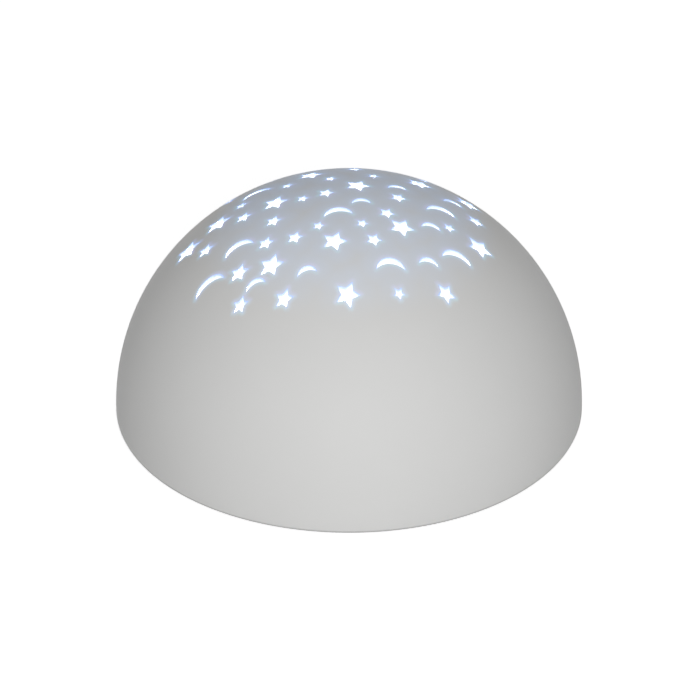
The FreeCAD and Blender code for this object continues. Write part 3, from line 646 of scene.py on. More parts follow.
def carved(blank: Form, tool: Form, crossing: bool) -> Mesh:
    """Take one form out of another.

    Args:
        blank: The form that keeps its body, freed here.
        tool: The form that is taken out, freed here.
        crossing: Whether parts of the tool reach into each other.

    Returns:
        The mesh that is left, in millimetres.
    """
    items = []
    for bm in (blank, tool):
        mesh = bpy.data.meshes.new("carrier")
        bm.to_mesh(mesh)
        bm.free()
        items.append(placed("carrier", mesh))
    cut = items[0].modifiers.new("cut", "BOOLEAN")
    cut.operation = "DIFFERENCE"
    cut.solver = "EXACT"
    cut.use_self = crossing
    cut.object = items[1]
    graph = bpy.context.evaluated_depsgraph_get()
    graph.update()
    result = bpy.data.meshes.new_from_object(items[0].evaluated_get(graph))
    for item in items:
        carrier = item.data
        bpy.data.objects.remove(item)
        bpy.data.meshes.remove(carrier)
    return result


def smooth_mesh(name: str, bm: Form, crease: float = CREASE_DEGREES) -> Mesh:
    """Turn a form into a mesh in metres.

    Args:
        name: Name of the mesh.
        bm: The form, freed here.
        crease: Edges sharper than this stay sharp, in degrees.

    Returns:
        The mesh.
    """
    mesh = bpy.data.meshes.new(name)
    bmesh.ops.scale(bm, vec=(MM, MM, MM), verts=bm.verts)
    bm.to_mesh(mesh)
    bm.free()
    for polygon in mesh.polygons:
        polygon.use_smooth = True
    mesh.set_sharp_from_angle(angle=math.radians(crease))
    return mesh


def finished(
    name: str, shape: Form | Mesh, body: Body, materials: Sequence[Material], nodes: Sequence[str]
) -> None:
    """Make a piece that stands for CAD nodes.

    Args:
        name: Name of the piece.
        shape: Its form, freed here, or its mesh in metres.
        body: The body that it rides on.
        materials: Its materials in slot order.
        nodes: CAD nodes that it stands for.
    """
    mesh = shape if isinstance(shape, Mesh) else smooth_mesh(name, shape)
    piece = placed(name, mesh)
    for material in materials:
        mesh.materials.append(material)
    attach(piece, body.value)
    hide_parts(*nodes)
    LOG.info("piece %s: %d faces on %s", name, len(mesh.polygons), body.value)


def dress_nodes(material: Material, *nodes: str) -> None:
    """Give CAD nodes that stay a finish.

    Args:
        material: The finish.
        *nodes: Names of the nodes.
    """
    for node in nodes:
        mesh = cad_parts[node].data
        mesh.materials.clear()
        mesh.materials.append(material)


# Light openings


@dataclass(frozen=True)
class Star:
    """A five-pointed star opening, in millimetres.

    Attributes:
        tip: Radius of the circle through its tips.
        valley_share: Radius of its valleys, as a share of that circle's.
        turn: Its turn in degrees.
    """

    tip: float
    valley_share: float = 0.52
    turn: float = -3.0

    def outline(self, bm: Form) -> Ring:
        """Draw the star about the origin.

        Args:
            bm: The mesh that takes it.

        Returns:
            Its corners in order.
        """
        ring = bmesh.ops.create_circle(bm, cap_ends=False, radius=self.tip, segments=10)["verts"]
        share = self.valley_share
        bmesh.ops.scale(bm, vec=(share, share, 1.0), verts=ring[1::2])
        first = math.atan2(ring[0].co.y, ring[0].co.x)
        spin = Matrix.Rotation(math.radians(self.turn) - first, 3, "Z")
        bmesh.ops.rotate(bm, cent=(0.0, 0.0, 0.0), matrix=spin, verts=ring)
        return ring


@dataclass(frozen=True)
class Crescent:
    """A crescent opening, in millimetres.

    Attributes:
        chord: Distance between its horns.
        rise: Rise of its outer arc over that chord.
        width: Its width in the middle.
        turn: Its turn in degrees.
        steps: Faces along each arc.
        drop: How far its horns lie below its place, as a share of the rise.
    """

    chord: float
    rise: float
    width: float
    turn: float = 7.0
    steps: int = 12
    drop: float = 0.55

    def _arc(self, bm: Form, start: bmesh.types.BMVert, base: float, rise: float, way: float) -> None:
        """Spin one corner along a circular arc over the chord.

        Args:
            bm: The mesh.
            start: The corner, at the chord's end.
            base: Place of the chord along Y.
            rise: Rise of the arc over the chord.
            way: 1 to turn counterclockwise, -1 to turn clockwise.
        """
        radius = (self.chord**2 / 4.0 + rise**2) / (2.0 * rise)
        half = math.atan2(self.chord / 2.0, radius - rise)
        middle = (0.0, base + rise - radius, 0.0)
        bmesh.ops.spin(
            bm, geom=[start], cent=middle, axis=(0.0, 0.0, 1.0), angle=2.0 * half * way, steps=self.steps
        )

    def outline(self, bm: Form) -> Ring:
        """Draw the crescent about the origin, its horns to the front.

        Args:
            bm: The mesh that takes it.

        Returns:
            Its corners in order.
        """
        base = -self.drop * self.rise
        before = set(bm.verts)
        right = bm.verts.new((self.chord / 2.0, base, 0.0))
        self._arc(bm, right, base, self.rise, 1.0)
        left = bm.verts.new((-self.chord / 2.0, base, 0.0))
        self._arc(bm, left, base, self.rise - self.width, -1.0)
        made = [v for v in bm.verts if v not in before]
        bmesh.ops.remove_doubles(bm, verts=made, dist=MERGE_DISTANCE)
        made = [v for v in bm.verts if v not in before]
        ring = self._ordered(made)
        spin = Matrix.Rotation(math.radians(self.turn), 3, "Z")
        bmesh.ops.rotate(bm, cent=(0.0, 0.0, 0.0), matrix=spin, verts=ring)
        return ring

    @staticmethod
    def _ordered(verts: Ring) -> Ring:
        """Walk once round a closed loop of vertices.

        Args:
            verts: The loop's vertices in any order.

        Returns:
            The same vertices in the order of the loop.
        """
        ring = [verts[0]]
        edge = verts[0].link_edges[0]
        while len(ring) < len(verts):
            ring.append(edge.other_vert(ring[-1]))
            edge = next(e for e in ring[-1].link_edges if e is not edge)
        return ring


class DomeSlot(IntEnum):
    """Places of the dome's materials."""

    OUTSIDE = 0
    INSIDE = 1
    OPENING = 2


class Opening(Enum):
    """Kinds of light opening."""

    STAR_LARGE = Star(4.2)
    STAR_BROAD = Star(3.1)
    STAR_MEDIUM = Star(2.6)
    STAR_SMALL = Star(1.9)
    CRESCENT_LARGE = Crescent(9.8, 4.2, 2.2)
    CRESCENT_SMALL = Crescent(6.4, 2.8, 1.6)


OPENINGS: dict[Opening, list[tuple[float, float]]] = {
    Opening.STAR_LARGE: [
        (-13.5, 26), (24.5, 23), (3, 10.5), (-25.5, 4.5), (-45.5, 7), (18, -14), (-5, -23), (45, -9.5),
        (-26.5, -28.5), (-0.5, -43.5), (41.5, 22), (-56, 2), (-28.5, 39), (13.5, 42),
    ],
    Opening.STAR_BROAD: [(-37.5, -26.5), (33, -36.5), (-22, -42), (-5, 49), (33.5, 39)],
    Opening.STAR_MEDIUM: [
        (-8, 5), (17, 4), (13, -7.5), (-36.5, 2), (-26, -7.5), (44, 7), (-18.5, -19), (8.5, -22),
        (-28.5, -18), (-49.5, -6.5), (-37, -38.5), (2, 33), (23.5, 47),
    ],
    Opening.STAR_SMALL: [
        (8.5, 22), (-6.5, 18), (-21.5, 17.5), (-16, 3), (-37.5, 13), (4.5, -14.5), (-10.5, -15),
        (34.5, -6.5), (17, -41.5), (26.5, 33), (-42, 29),
    ],
    Opening.CRESCENT_LARGE: [
        (-32.5, 21), (31.5, 3.5), (-4, -7.5), (-38, -14), (36.5, -19.5), (14, -31), (-48, -23.5),
    ],
    Opening.CRESCENT_SMALL: [
        (16.5, 13), (4, -1), (28, -9), (27, -26.5), (-14.5, -33.5), (-32, -33), (36, 14.5), (-14.5, 39),
    ],
}


@dataclass
class PiercedDome:
    """The half-ball shade with its openings and screw bosses, in millimetres.

    Attributes:
        radius: Outer radius of the ball.
        wall: Wall thickness.
        equator: Height of the ball's centre.
        rim_foot: Height of the rim's lower face.
        rim_bevel: Size of the bevel at the foot of the rim.
        rim_round: Inset of the bevel's middle corner, as a share of the bevel.
        rabbet: Radius of the step that takes the base plate.
        plate_top: Height of the step.
        rise_steps: Faces from the equator to the crown.
        round_steps: Faces once round.
        edge_break: Size of the broken edge round an opening.
        mitre_limit: Least share that a mitre is divided by, which keeps sharp corners short.
        core_rise: How far the opening cores reach over the crown.
        boss_circle: Radius that the screw bosses stand on.
        boss_radius: Radius of a boss.
        boss_foot: Height of a boss's lower face.
        pilot_radius: Radius of the hole in a boss.
        pilot_depth: Depth of that hole.
        web: Length, width and height of the web between a boss and the wall.
        web_rise: Height of the web's foot over the boss's.
        trims: Where the wall's slope cuts a boss and its web, outward from the boss's axis.
        skin_depth: How far from the outer or inner ball a face of the wall can lie.
        true_facing: Least share by which a face of the ball faces straight out or in.
        round_facing: Least such share of a face that gets the ball's own normals.
        far_gap: Distance stored where no opening is near.
        measured_from: Height over the ball's centre where distances are measured.
        centre: The ball's centre.
    """

    radius: float = 82.5
    wall: float = 2.0
    equator: float = 3.5
    rim_foot: float = 2.2
    rim_bevel: float = 0.6
    rim_round: float = 0.3
    rabbet: float = 81.5
    plate_top: float = 4.5
    rise_steps: int = 90
    round_steps: int = 256
    edge_break: float = 0.12
    mitre_limit: float = 0.4
    core_rise: float = 3.0
    boss_circle: float = 70.0
    boss_radius: float = 3.5
    boss_foot: float = 12.0
    pilot_radius: float = 1.5
    pilot_depth: float = 12.0
    web: Triple = (9.5, 1.6, 60.0)
    web_rise: float = 6.0
    trims: Triple = (-2.0, 2.0, 6.0)
    skin_depth: float = 0.3
    true_facing: float = 0.97
    round_facing: float = 0.9
    far_gap: float = 20.0
    measured_from: float = 20.0
    centre: Vector = field(init=False)

    def __post_init__(self) -> None:
        """Keep the ball's centre."""
        self.centre = Vector((0.0, 0.0, self.equator))

    def _arc(self, bm: Form, radius: float, height: float, steps: int) -> Ring:
        """Draw the ball's section from a height up to the crown.

        Args:
            bm: The mesh that takes it.
            radius: Radius of the ball.
            height: Height of the first corner.
            steps: Number of steps.

        Returns:
            The corners from the foot to the crown.
        """
        low = math.asin((height - self.equator) / radius)
        before = set(bm.verts)
        start = bm.verts.new((radius * math.cos(low), 0.0, height))
        bmesh.ops.spin(
            bm, geom=[start], cent=self.centre, axis=(0.0, -1.0, 0.0), angle=math.pi / 2.0 - low, steps=steps
        )
        made = sorted((v for v in bm.verts if v not in before), key=lambda v: v.co.z)
        made[-1].co.x = 0.0
        return made

    def _shell(self) -> Form:
        """Spin the closed wall of the dome, rim and step included.

        Returns:
            Its form.
        """
        bm = bmesh.new()
        outer = self._arc(bm, self.radius, self.equator, self.rise_steps)
        inner = self._arc(bm, self.radius - self.wall, self.plate_top, self.rise_steps // 3)
        inset = self.rim_round * self.rim_bevel
        corners = [
            (self.radius, self.rim_foot + self.rim_bevel),
            (self.radius - inset, self.rim_foot + inset),
            (self.radius - self.rim_bevel, self.rim_foot),
            (self.rabbet, self.rim_foot),
            (self.rabbet, self.plate_top),
        ]
        rim = [outer[0], *(bm.verts.new((x, 0.0, z)) for x, z in corners), inner[0]]
        for pair in zip(rim, rim[1:]):
            bm.edges.new(pair)
        turn_about(bm, [*bm.verts, *bm.edges], self.round_steps)
        return bm

    def _surface_height(self, x: float, y: float) -> float:
        """Height of the outer surface above a plan position."""
        return self.equator + math.sqrt(self.radius**2 - x * x - y * y)

    def _core(self, bm: Form, kind: Star | Crescent, place: tuple[float, float]) -> None:
        """Raise one opening's core, wider from the broken edge up.

        Args:
            bm: The mesh that takes it.
            kind: The opening's outline.
            place: Its plan position.
        """
        ring = kind.outline(bm)
        bmesh.ops.translate(bm, vec=(place[0], place[1], self.boss_foot), verts=ring)
        normals = self._outward(ring)
        face = bmesh.ops.contextual_create(bm, geom=self._loop_edges(ring))["faces"][0]
        spread = 2.0 * self.edge_break
        for offset, grow in ((-self.edge_break, 0.0), (self.edge_break, spread), (None, 0.0)):
            below = face
            made = bmesh.ops.extrude_face_region(bm, geom=[below])["geom"]
            face = next(g for g in made if isinstance(g, bmesh.types.BMFace))
            if grow or offset is None:
                bmesh.ops.delete(bm, geom=[below], context="FACES_ONLY")
            ring = self._nearest(ring, [g for g in made if isinstance(g, bmesh.types.BMVert)])
            for vert, normal in zip(ring, normals):
                vert.co.xy += grow * normal
                if offset is None:
                    vert.co.z = self.equator + self.radius + self.core_rise
                else:
                    vert.co.z = self._surface_height(vert.co.x, vert.co.y) + offset

    @staticmethod
    def _loop_edges(ring: Ring) -> list[bmesh.types.BMEdge]:
        """The edges between neighbours of a closed ring."""
        pairs = zip(ring, [*ring[1:], ring[0]])
        return [next(e for e in a.link_edges if e.other_vert(a) is b) for a, b in pairs]

    @staticmethod
    def _nearest(ring: Ring, candidates: Ring) -> Ring:
        """Match each corner of a ring with the extruded corner that lies on it."""
        return [min(candidates, key=lambda c: (c.co - v.co).length_squared) for v in ring]

    def _outward(self, ring: Ring) -> list[Vector]:
        """Find the plan directions that widen a ring evenly.

        Args:
            ring: The ring's corners in order.

        Returns:
            The direction at each corner, longer where the corner is sharp.
        """
        points = [v.co.xy.copy() for v in ring]
        area = sum(a.x * b.y - b.x * a.y for a, b in zip(points, [*points[1:], points[0]]))
        sign = 1.0 if area > 0.0 else -1.0
        result = []
        for index, point in enumerate(points):
            before = (point - points[index - 1]).normalized()
            after = (points[(index + 1) % len(points)] - point).normalized()
            first = Vector((before.y, -before.x)) * sign
            second = Vector((after.y, -after.x)) * sign
            middle = (first + second).normalized()
            result.append(middle / max(middle.dot(first), self.mitre_limit))
        return result

    def _cores(self) -> Form:
        """Raise the cores of all openings in one mesh.

        Returns:
            The cores' form.
        """
        bm = bmesh.new()
        for kind, places in OPENINGS.items():
            for place in places:
                single = bmesh.new()
                self._core(single, kind.value, place)
                bmesh.ops.recalc_face_normals(single, faces=single.faces)
                joined(bm, single)
        open_edges = sum(1 for e in bm.edges if not e.is_manifold)
        LOG.info("opening cores: %d faces, %d open edges", len(bm.faces), open_edges)
        return bm

    def _bosses(self) -> Form:
        """Make the four screw bosses with their pilot holes and webs, cut off inside the wall.

        Returns:
            The bosses' form.
        """
        bm = bmesh.new()
        pilot_top = self.boss_foot + self.pilot_depth
        section = [
            (0.0, pilot_top), (self.pilot_radius, pilot_top), (self.pilot_radius, self.boss_foot),
            (self.boss_radius, self.boss_foot), (self.boss_radius, self.radius), (0.0, self.radius),
        ]
        trim = self.radius - self.wall / 2.0
        length, _, height = self.web
        middle = (length / 2.0, 0.0, self.boss_foot + self.web_rise + height / 2.0)
        for angle in CORNER_ANGLES:
            boss = turned(section, 24)
            web = bmesh.ops.create_cube(boss, size=1.0)["verts"]
            bmesh.ops.scale(boss, vec=self.web, verts=web)
            bmesh.ops.translate(boss, vec=middle, verts=web)
            bmesh.ops.translate(boss, vec=(self.boss_circle, 0.0, 0.0), verts=boss.verts)
            for step in self.trims:
                reach = self.boss_circle + step
                normal = Vector((reach, 0.0, math.sqrt(trim**2 - reach**2))).normalized()
                spot = self.centre + normal * trim
                geometry = [*boss.verts, *boss.edges, *boss.faces]
                cut = bmesh.ops.bisect_plane(
                    boss, geom=geometry, plane_co=spot, plane_no=normal, clear_outer=True
                )["geom_cut"]
                edges = [g for g in cut if isinstance(g, bmesh.types.BMEdge) and not g.is_manifold]
                bmesh.ops.edgenet_fill(boss, edges=edges)
            spin = Matrix.Rotation(angle, 3, "Z")
            bmesh.ops.rotate(boss, cent=(0.0, 0.0, 0.0), matrix=spin, verts=boss.verts)
            bmesh.ops.recalc_face_normals(boss, faces=boss.faces)
            joined(bm, boss)
        for face in bm.faces:
            face.material_index = DomeSlot.INSIDE
        return bm

    def _sort_faces(self, mesh: Mesh) -> None:
        """Tell skin, lit inside and opening walls apart by where each face lies.

        Args:
            mesh: The dome's mesh, in millimetres.
        """
        inner = self.radius - self.wall
        for polygon in mesh.polygons:
            away = polygon.center - self.centre
            facing = polygon.normal.dot(away.normalized())
            if polygon.center.z <= self.plate_top + 0.01:
                polygon.material_index = DomeSlot.OUTSIDE
            elif facing > self.true_facing and away.length > self.radius - self.skin_depth:
                polygon.material_index = DomeSlot.OUTSIDE
            elif facing < -self.true_facing and away.length < inner + self.skin_depth:
                polygon.material_index = DomeSlot.INSIDE
            else:
                polygon.material_index = DomeSlot.OPENING

    def _measure_gaps(self, mesh: Mesh, tree: BVHTree) -> None:
        """Store each point's distance from the nearest opening, and on which side of it the point lies.

        Args:
            mesh: The dome's mesh, in millimetres.
            tree: The surface of the opening cores.
        """
        gaps = []
        sides = []
        for vertex in mesh.vertices:
            gap, side = self.far_gap, 0.0
            if vertex.co.z > self.equator + self.measured_from:
                spot, _, _, gap = tree.find_nearest(vertex.co)
                away = (vertex.co - spot).xy
                outward = vertex.co.xy
                if away.length > 1e-3 and outward.length > 1.0:
                    side = away.normalized().dot(outward.normalized())
            gaps.append(gap)
            sides.append(side)
        for name, values in (("opening_gap", gaps), ("rim_side", sides)):
            mesh.attributes.new(name, "FLOAT", "POINT").data.foreach_set("value", values)

    def _set_normals(self, mesh: Mesh) -> None:
        """Give the ball's faces true round normals, so that no cut shows in the shading.

        Args:
            mesh: The dome's mesh, in metres.
        """
        centre = self.centre * MM
        normals = [Vector((0.0, 0.0, 0.0))] * len(mesh.loops)
        for polygon in mesh.polygons:
            polygon.use_smooth = True
        mesh.set_sharp_from_angle(angle=math.radians(CREASE_DEGREES))
        for polygon in mesh.polygons:
            if polygon.material_index == DomeSlot.OPENING:
                continue
            way = 1.0 if polygon.material_index == DomeSlot.OUTSIDE else -1.0
            for loop in polygon.loop_indices:
                away = mesh.vertices[mesh.loops[loop].vertex_index].co - centre
                if away.z >= 0.0 and abs(polygon.normal.dot(away.normalized())) > self.round_facing:
                    normals[loop] = away.normalized() * way
        mesh.normals_split_custom_set([tuple(n) for n in normals])

    def build(self, finishes: Finishes) -> None:
        """Make the dome as one piece.

        Args:
            finishes: Every finish of the lamp.
        """
        cores = self._cores()
        tree = BVHTree.FromBMesh(cores)
        mesh = carved(self._shell(), cores, crossing=False)
        mesh.materials.clear()
        self._sort_faces(mesh)
        self._measure_gaps(mesh, tree)
        bm = bmesh.new()
        bm.from_mesh(mesh)
        joined(bm, self._bosses())
        bm.to_mesh(mesh)
        bm.free()
        mesh.name = "pierced_dome"
        mesh.transform(Matrix.Scale(MM, 4))
        self._set_normals(mesh)
        materials = [finishes.dome, finishes.dome_inside, finishes.opening_wall]
        finished("pierced_dome", mesh, Body.LAMP, materials, ["dome_shell"])


# Base, battery and switch


@dataclass(frozen=True)
class CrossScrew:
    """A pan-head screw with a cross recess, head down, its bearing face at height zero, in millimetres.

    Attributes:
        head: Diameter of the head.
        head_height: Height of the head.
        shank: Diameter of the shank.
        length: Length of the shank.
        recess_reach: Length of the recess, as a share of the head.
        recess_width: Its width, as a share of the head.
        recess_depth: Its depth, as a share of the head's height.
    """

    head: float
    head_height: float
    shank: float
    length: float
    recess_reach: float = 0.575
    recess_width: float = 0.12
    recess_depth: float = 0.6

    def form(self) -> Form:
        """Shape the screw.

        Returns:
            Its form.
        """
        r, h, s = self.head / 2.0, self.head_height, self.shank / 2.0
        crown = [(r * math.sin(a), -h * 0.45 - h * 0.55 * math.cos(a)) for a in (0.35, 0.7, 1.05, 1.4)]
        shank = [(s, 0.0), (s, self.length - s), (0.0, self.length)]
        section = [(0.0, -h), *crown, (r, -h * 0.4), (r, 0.0), *shank]
        reach, width = self.head * self.recess_reach, self.head * self.recess_width
        cross = bmesh.new()
        for x, y in ((reach, width), (width, reach)):
            arm = bmesh.ops.create_cube(cross, size=1.0)["verts"]
            bmesh.ops.scale(cross, vec=(x, y, 2.0 * self.recess_depth * h), verts=arm)
            bmesh.ops.translate(cross, vec=(0.0, 0.0, -h), verts=arm)
        mesh = carved(turned(section, 40), cross, crossing=True)
        screw = bmesh.new()
        screw.from_mesh(mesh)
        bpy.data.meshes.remove(mesh)
        return screw


@dataclass
class BaseUnderside:
    """Base plate, feet and the screws in its wells, in millimetres.

    Attributes:
        foot_radius: Radius of a foot.
        foot_height: Height of a foot.
        foot_round: Round of its lower edge.
        screw: One of the base's screws.
    """

    foot_radius: float = 5.0
    foot_height: float = 3.0
    foot_round: float = 0.7
    screw: CrossScrew = CrossScrew(head=5.6, head_height=2.2, shank=2.9, length=11.0)

    def build(self, finishes: Finishes) -> None:
        """Make the feet and screws and dress the plate.

        Args:
            finishes: Every finish of the lamp.
        """
        dress_nodes(finishes.base, "base_plate")
        for number in range(1, 5):
            self._foot(number, finishes)
        screws = bmesh.new()
        low, high, _ = node_box("base_screws")
        circle = ((high.x - low.x) / 2.0 - self.screw.head / 2.0) * math.sqrt(2.0)
        for angle in CORNER_ANGLES:
            screw = self.screw.form()
            spot = (circle * math.cos(angle), circle * math.sin(angle), low.z + self.screw.head_height)
            bmesh.ops.translate(screw, vec=spot, verts=screw.verts)
            joined(screws, screw)
        finished("base_screw_set", screws, Body.LAMP, [finishes.steel], ["base_screws"])

    def _foot(self, number: int, finishes: Finishes) -> None:
        """Turn one rubber foot with a rounded lower edge and a shallow dish.

        Args:
            number: Number of the foot, from 1.
            finishes: Every finish of the lamp.
        """
        r, h, e = self.foot_radius, self.foot_height, self.foot_round
        section = [(0.0, 0.25), (r * 0.45, 0.2), (r * 0.62, 0.0), (r - e, 0.0)]
        section += [(r - e + e * math.sin(a), e - e * math.cos(a)) for a in (0.5, 1.05, math.pi / 2.0)]
        section += [(r, h), (0.0, h)]
        foot = turned(section, 56)
        node = f"rubber_foot_{number}"
        middle = node_box(node)[2]
        bmesh.ops.translate(foot, vec=(middle.x, middle.y, 0.0), verts=foot.verts)
        finished(f"foot_pad_{number}", foot, Body.LAMP, [finishes.rubber], [node])


@dataclass
class BatteryBay:
    """The door with its screw, the cells and their contacts, in millimetres.

    Attributes:
        cell_radius: Radius of a cell.
        cell_length: Length of a cell with its nub.
        nub_radius: Radius of the nub.
        nub_height: Height of the nub.
        band_share: Where the jacket's bright band starts, as a share of the length.
        screw: The door's screw.
    """

    cell_radius: float = 7.25
    cell_length: float = 50.5
    nub_radius: float = 2.75
    nub_height: float = 1.2
    band_share: float = 0.7
    screw: CrossScrew = CrossScrew(head=5.0, head_height=1.8, shank=2.6, length=4.0)

    def build(self, finishes: Finishes) -> None:
        """Make the cells and the door's screw and dress what stays.

        Args:
            finishes: Every finish of the lamp.
        """
        dress_nodes(finishes.door, "battery_door")
        dress_nodes(finishes.brass, "door_screw_insert")
        contacts = ("plate_positive", "link_rear", "link_front", "spring_negative")
        dress_nodes(finishes.nickel, *(f"contact_{contact}" for contact in contacts))
        for number in range(1, 4):
            self._cell(number, finishes)
        node = "battery_door_screw"
        low, _, middle = node_box(node)
        screw = self.screw.form()
        spot = (middle.x, middle.y, low.z + self.screw.head_height)
        bmesh.ops.translate(screw, vec=spot, verts=screw.verts)
        finished("door_screw_turned", screw, Body.DOOR_SCREW, [finishes.steel], [node])

    def _cell(self, number: int, finishes: Finishes) -> None:
        """Turn one cell with its jacket, its rolled ends and its nub.

        Args:
            number: Number of the cell, from 1.
            finishes: Every finish of the lamp.
        """
        r, length, nub = self.cell_radius, self.cell_length, self.nub_radius
        shoulder = length - self.nub_height
        band = length * self.band_share
        section = [
            (0.0, 0.0), (r - 1.4, 0.0), (r - 1.0, 0.2), (r - 0.4, 0.0), (r, 0.5),
            (r, band), (r, shoulder - 0.5), (r - 0.5, shoulder), (r - 1.6, shoulder),
            (r - 1.9, shoulder - 0.4), (nub + 0.5, shoulder - 0.4), (nub, shoulder), (nub, length - 0.3),
            (nub - 0.3, length), (0.0, length),
        ]
        bm = turned(section, 64)
        for face in bm.faces:
            height = face.calc_center_median().z
            wide = face.calc_center_median().xy.length > r - 0.9
            face.material_index = int(height > band) if wide else 2
        node = f"battery_cell_{number}"
        low, high, middle = node_box(node)
        backward = number == 2
        spin = Matrix.Rotation(math.radians(-90.0 if backward else 90.0), 3, "X")
        bmesh.ops.rotate(bm, cent=(0.0, 0.0, 0.0), matrix=spin, verts=bm.verts)
        start = low.y if backward else high.y
        bmesh.ops.translate(bm, vec=(middle.x, start, middle.z), verts=bm.verts)
        materials = [finishes.jacket, finishes.jacket_band, finishes.can]
        finished(f"cell_turned_{number}", bm, Body.LAMP, materials, [node])


@dataclass
class LampBoard:
    """The board with its light source and small parts, in millimetres.

    Attributes:
        lens_radius: Radius of the lens.
        flange_radius: Radius of the flange at its foot.
        flange_height: Height of that flange.
        lens_height: Height of the lens with its flange.
        light_power: Power of its light in watts.
        light_colour: Linear colour of its light.
        light_radius: Radius that the light comes from.
        light_lift: Height of the light over the lens.
    """

    lens_radius: float = 2.5
    flange_radius: float = 2.9
    flange_height: float = 1.0
    lens_height: float = 7.0
    light_power: float = 0.5
    light_colour: Colour = (0.86, 0.94, 1.0)
    light_radius: float = 1.5
    light_lift: float = 2.0

    def build(self, finishes: Finishes) -> None:
        """Make the lens and dress the board's parts.

        Args:
            finishes: Every finish of the lamp.
        """
        dress_nodes(finishes.board, "lamp_board")
        dress_nodes(finishes.steel, "board_screws")
        dress_nodes(finishes.chip, "driver_chip")
        dress_nodes(finishes.resistor, "board_resistors")
        dress_nodes(finishes.can, "board_capacitor")
        section = [
            (0.0, 0.0), (self.flange_radius, 0.0), (self.flange_radius, self.flange_height),
            (self.lens_radius, self.flange_height + 0.1), (self.lens_radius, self.lens_height - 0.3),
            (self.lens_radius - 0.3, self.lens_height), (0.0, self.lens_height),
        ]
        lens = turned(section, 48)
        low, _, _ = node_box("projector_led")
        bmesh.ops.translate(lens, vec=(0.0, 0.0, low.z), verts=lens.verts)
        finished("lamp_lens", lens, Body.LAMP, [finishes.lens], ["projector_led"])
        dress_nodes(finishes.wire_red, "battery_lead_red", "switch_lead_red")
        dress_nodes(finishes.wire_black, "battery_lead_black")
        self._light(low.z + self.lens_height + self.light_lift)

    def _light(self, height: float) -> None:
        """Place the small light that the lens gives.

        Args:
            height: Its height in millimetres.
        """
        light = bpy.data.lights.new("lamp_light", "POINT")
        light.energy = self.light_power
        light.color = self.light_colour
        light.shadow_soft_size = self.light_radius * MM
        placed("lamp_light", light).location = (0.0, 0.0, height * MM)


class SlideSwitch:
    """The slide switch beside the battery box."""

    def build(self, finishes: Finishes) -> None:
        """Dress its pieces.

        Args:
            finishes: Every finish of the lamp.
        """
        dress_nodes(finishes.steel, "switch_bracket", "switch_screws")
        dress_nodes(finishes.nickel, "switch_terminals")
        dress_nodes(finishes.switch, "switch_housing", "switch_actuator", "switch_knob")


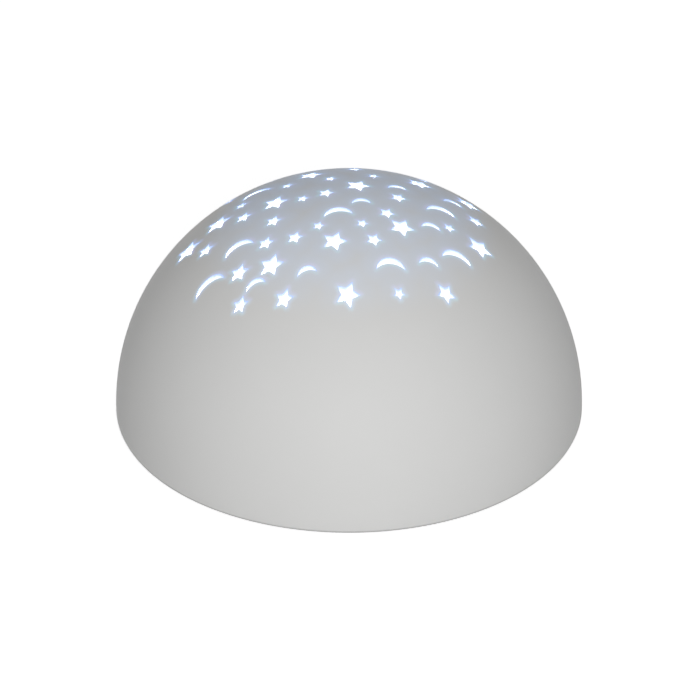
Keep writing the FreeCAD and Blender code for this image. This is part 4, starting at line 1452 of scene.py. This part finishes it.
@dataclass
class Studio:
    """Floor, light and camera.

    Attributes:
        elevation: The camera's height over the ball's centre, in degrees.
        distance: Its distance from that centre, in metres.
        lens: Its focal length in millimetres.
        lift: How far it looks above that centre, in degrees.
        swing: How far it looks to the right of that centre, in degrees.
        centre: Height of that centre in metres.
        sky: Strength of the even light from all round.
        key_power: Power of the front light in watts.
        key_place: Its place in metres.
        key_size: Its width in metres.
        top_power: Power of the upper light in watts.
        top_place: Its place in metres.
        top_size: Its width in metres.
        aim: Height of the spot that both lights point at, in metres.
        floor_size: Width of the floor in metres.
        floor_colour: Linear shade of the floor in the light.
        floor_shown: Light that the floor adds where it is seen, so that it shows white.
    """

    elevation: float = 32.2
    distance: float = 1.65
    lens: float = 239.3
    lift: float = 0.6255
    swing: float = 0.0135
    centre: float = 0.0035
    sky: float = 0.25
    key_power: float = 34.0
    key_place: Triple = (0.12, -2.2, 1.0)
    key_size: float = 1.0
    top_power: float = 4.0
    top_place: Triple = (0.0, 0.4, 2.1)
    top_size: float = 1.4
    aim: float = 0.04
    floor_size: float = 12.0
    floor_colour: float = 0.62
    floor_shown: float = 0.76

    def build(self) -> None:
        """Set the stage."""
        self._world()
        self._floor()
        self._area("key_light", self.key_place, self.key_size, self.key_power)
        self._area("top_light", self.top_place, self.top_size, self.top_power)
        self._camera()

    def _shown(self, graph: Graph) -> Socket:
        """Make a value that is one for rays from the camera, from gloss and through glass, and else zero.

        Args:
            graph: The graph that takes the nodes.

        Returns:
            The socket of that value.
        """
        path = graph.add("ShaderNodeLightPath")
        both = graph.math("MAXIMUM", path.outputs["Is Camera Ray"], path.outputs["Is Glossy Ray"])
        return graph.math("MAXIMUM", both, path.outputs["Is Transmission Ray"])

    def _world(self) -> None:
        """White behind, and an even soft light."""
        world = bpy.data.worlds.new("soft_studio")
        bpy.context.scene.world = world
        world.use_nodes = True
        graph = Graph(world.node_tree)
        strength = graph.remap(self._shown(graph), 0.0, 1.0, self.sky, 1.0)
        graph.feed(world.node_tree.nodes["Background"], {"Color": (1.0, 1.0, 1.0, 1.0), "Strength": strength})

    def _floor(self) -> None:
        """A plain pale floor that shows white and keeps the lamp's shadow."""
        bm = bmesh.new()
        bmesh.ops.create_grid(bm, x_segments=1, y_segments=1, size=self.floor_size / 2.0)
        mesh = bpy.data.meshes.new("studio_floor")
        bm.to_mesh(mesh)
        bm.free()
        floor = placed("studio_floor", mesh)
        material, graph, shader = principled("studio_floor_white")
        graph.feed(shader, {
            "Base Color": (self.floor_colour, self.floor_colour, self.floor_colour, 1.0),
            "Roughness": 1.0,
            "Specular IOR Level": 0.0,
            "Emission Color": (1.0, 1.0, 1.0, 1.0),
            "Emission Strength": graph.math("MULTIPLY", self._shown(graph), self.floor_shown),
        })
        mesh.materials.append(material)

    def _area(self, name: str, place: Triple, size: float, power: float) -> None:
        """Hang a square soft light that points at the lamp.

        Args:
            name: Name of the light.
            place: Its place in metres.
            size: Its width in metres.
            power: Its power in watts.
        """
        light = bpy.data.lights.new(name, "AREA")
        light.shape = "SQUARE"
        light.size = size
        light.energy = power
        lamp = placed(name, light)
        lamp.location = place
        way = Vector((0.0, 0.0, self.aim)) - Vector(place)
        lamp.rotation_euler = way.to_track_quat("-Z", "Y").to_euler()

    def _camera(self) -> None:
        """Stand the camera where the photograph was taken."""
        data = bpy.data.cameras.new("photo_camera")
        data.sensor_width = 36.0
        data.lens = self.lens
        data.clip_start = 0.05
        data.clip_end = 50.0
        camera = placed("photo_camera", data)
        rise = math.radians(self.elevation)
        back = Vector((0.0, -math.cos(rise), math.sin(rise)))
        camera.location = Vector((0.0, 0.0, self.centre)) + back * self.distance
        tilt = math.pi / 2.0 - rise + math.radians(self.lift)
        camera.rotation_euler = (tilt, 0.0, -math.radians(self.swing))
        bpy.context.scene.camera = camera


def main() -> None:
    """Build every sub-assembly in order."""
    logging.basicConfig(level=logging.INFO, format="%(name)s: %(message)s")
    bpy.context.scene.view_settings.view_transform = "Standard"
    finishes = Finishes()
    for part in (PiercedDome(), BaseUnderside(), BatteryBay(), LampBoard(), SlideSwitch()):
        part.build(finishes)
    Studio().build()


if __name__ == "__main__":
    main()
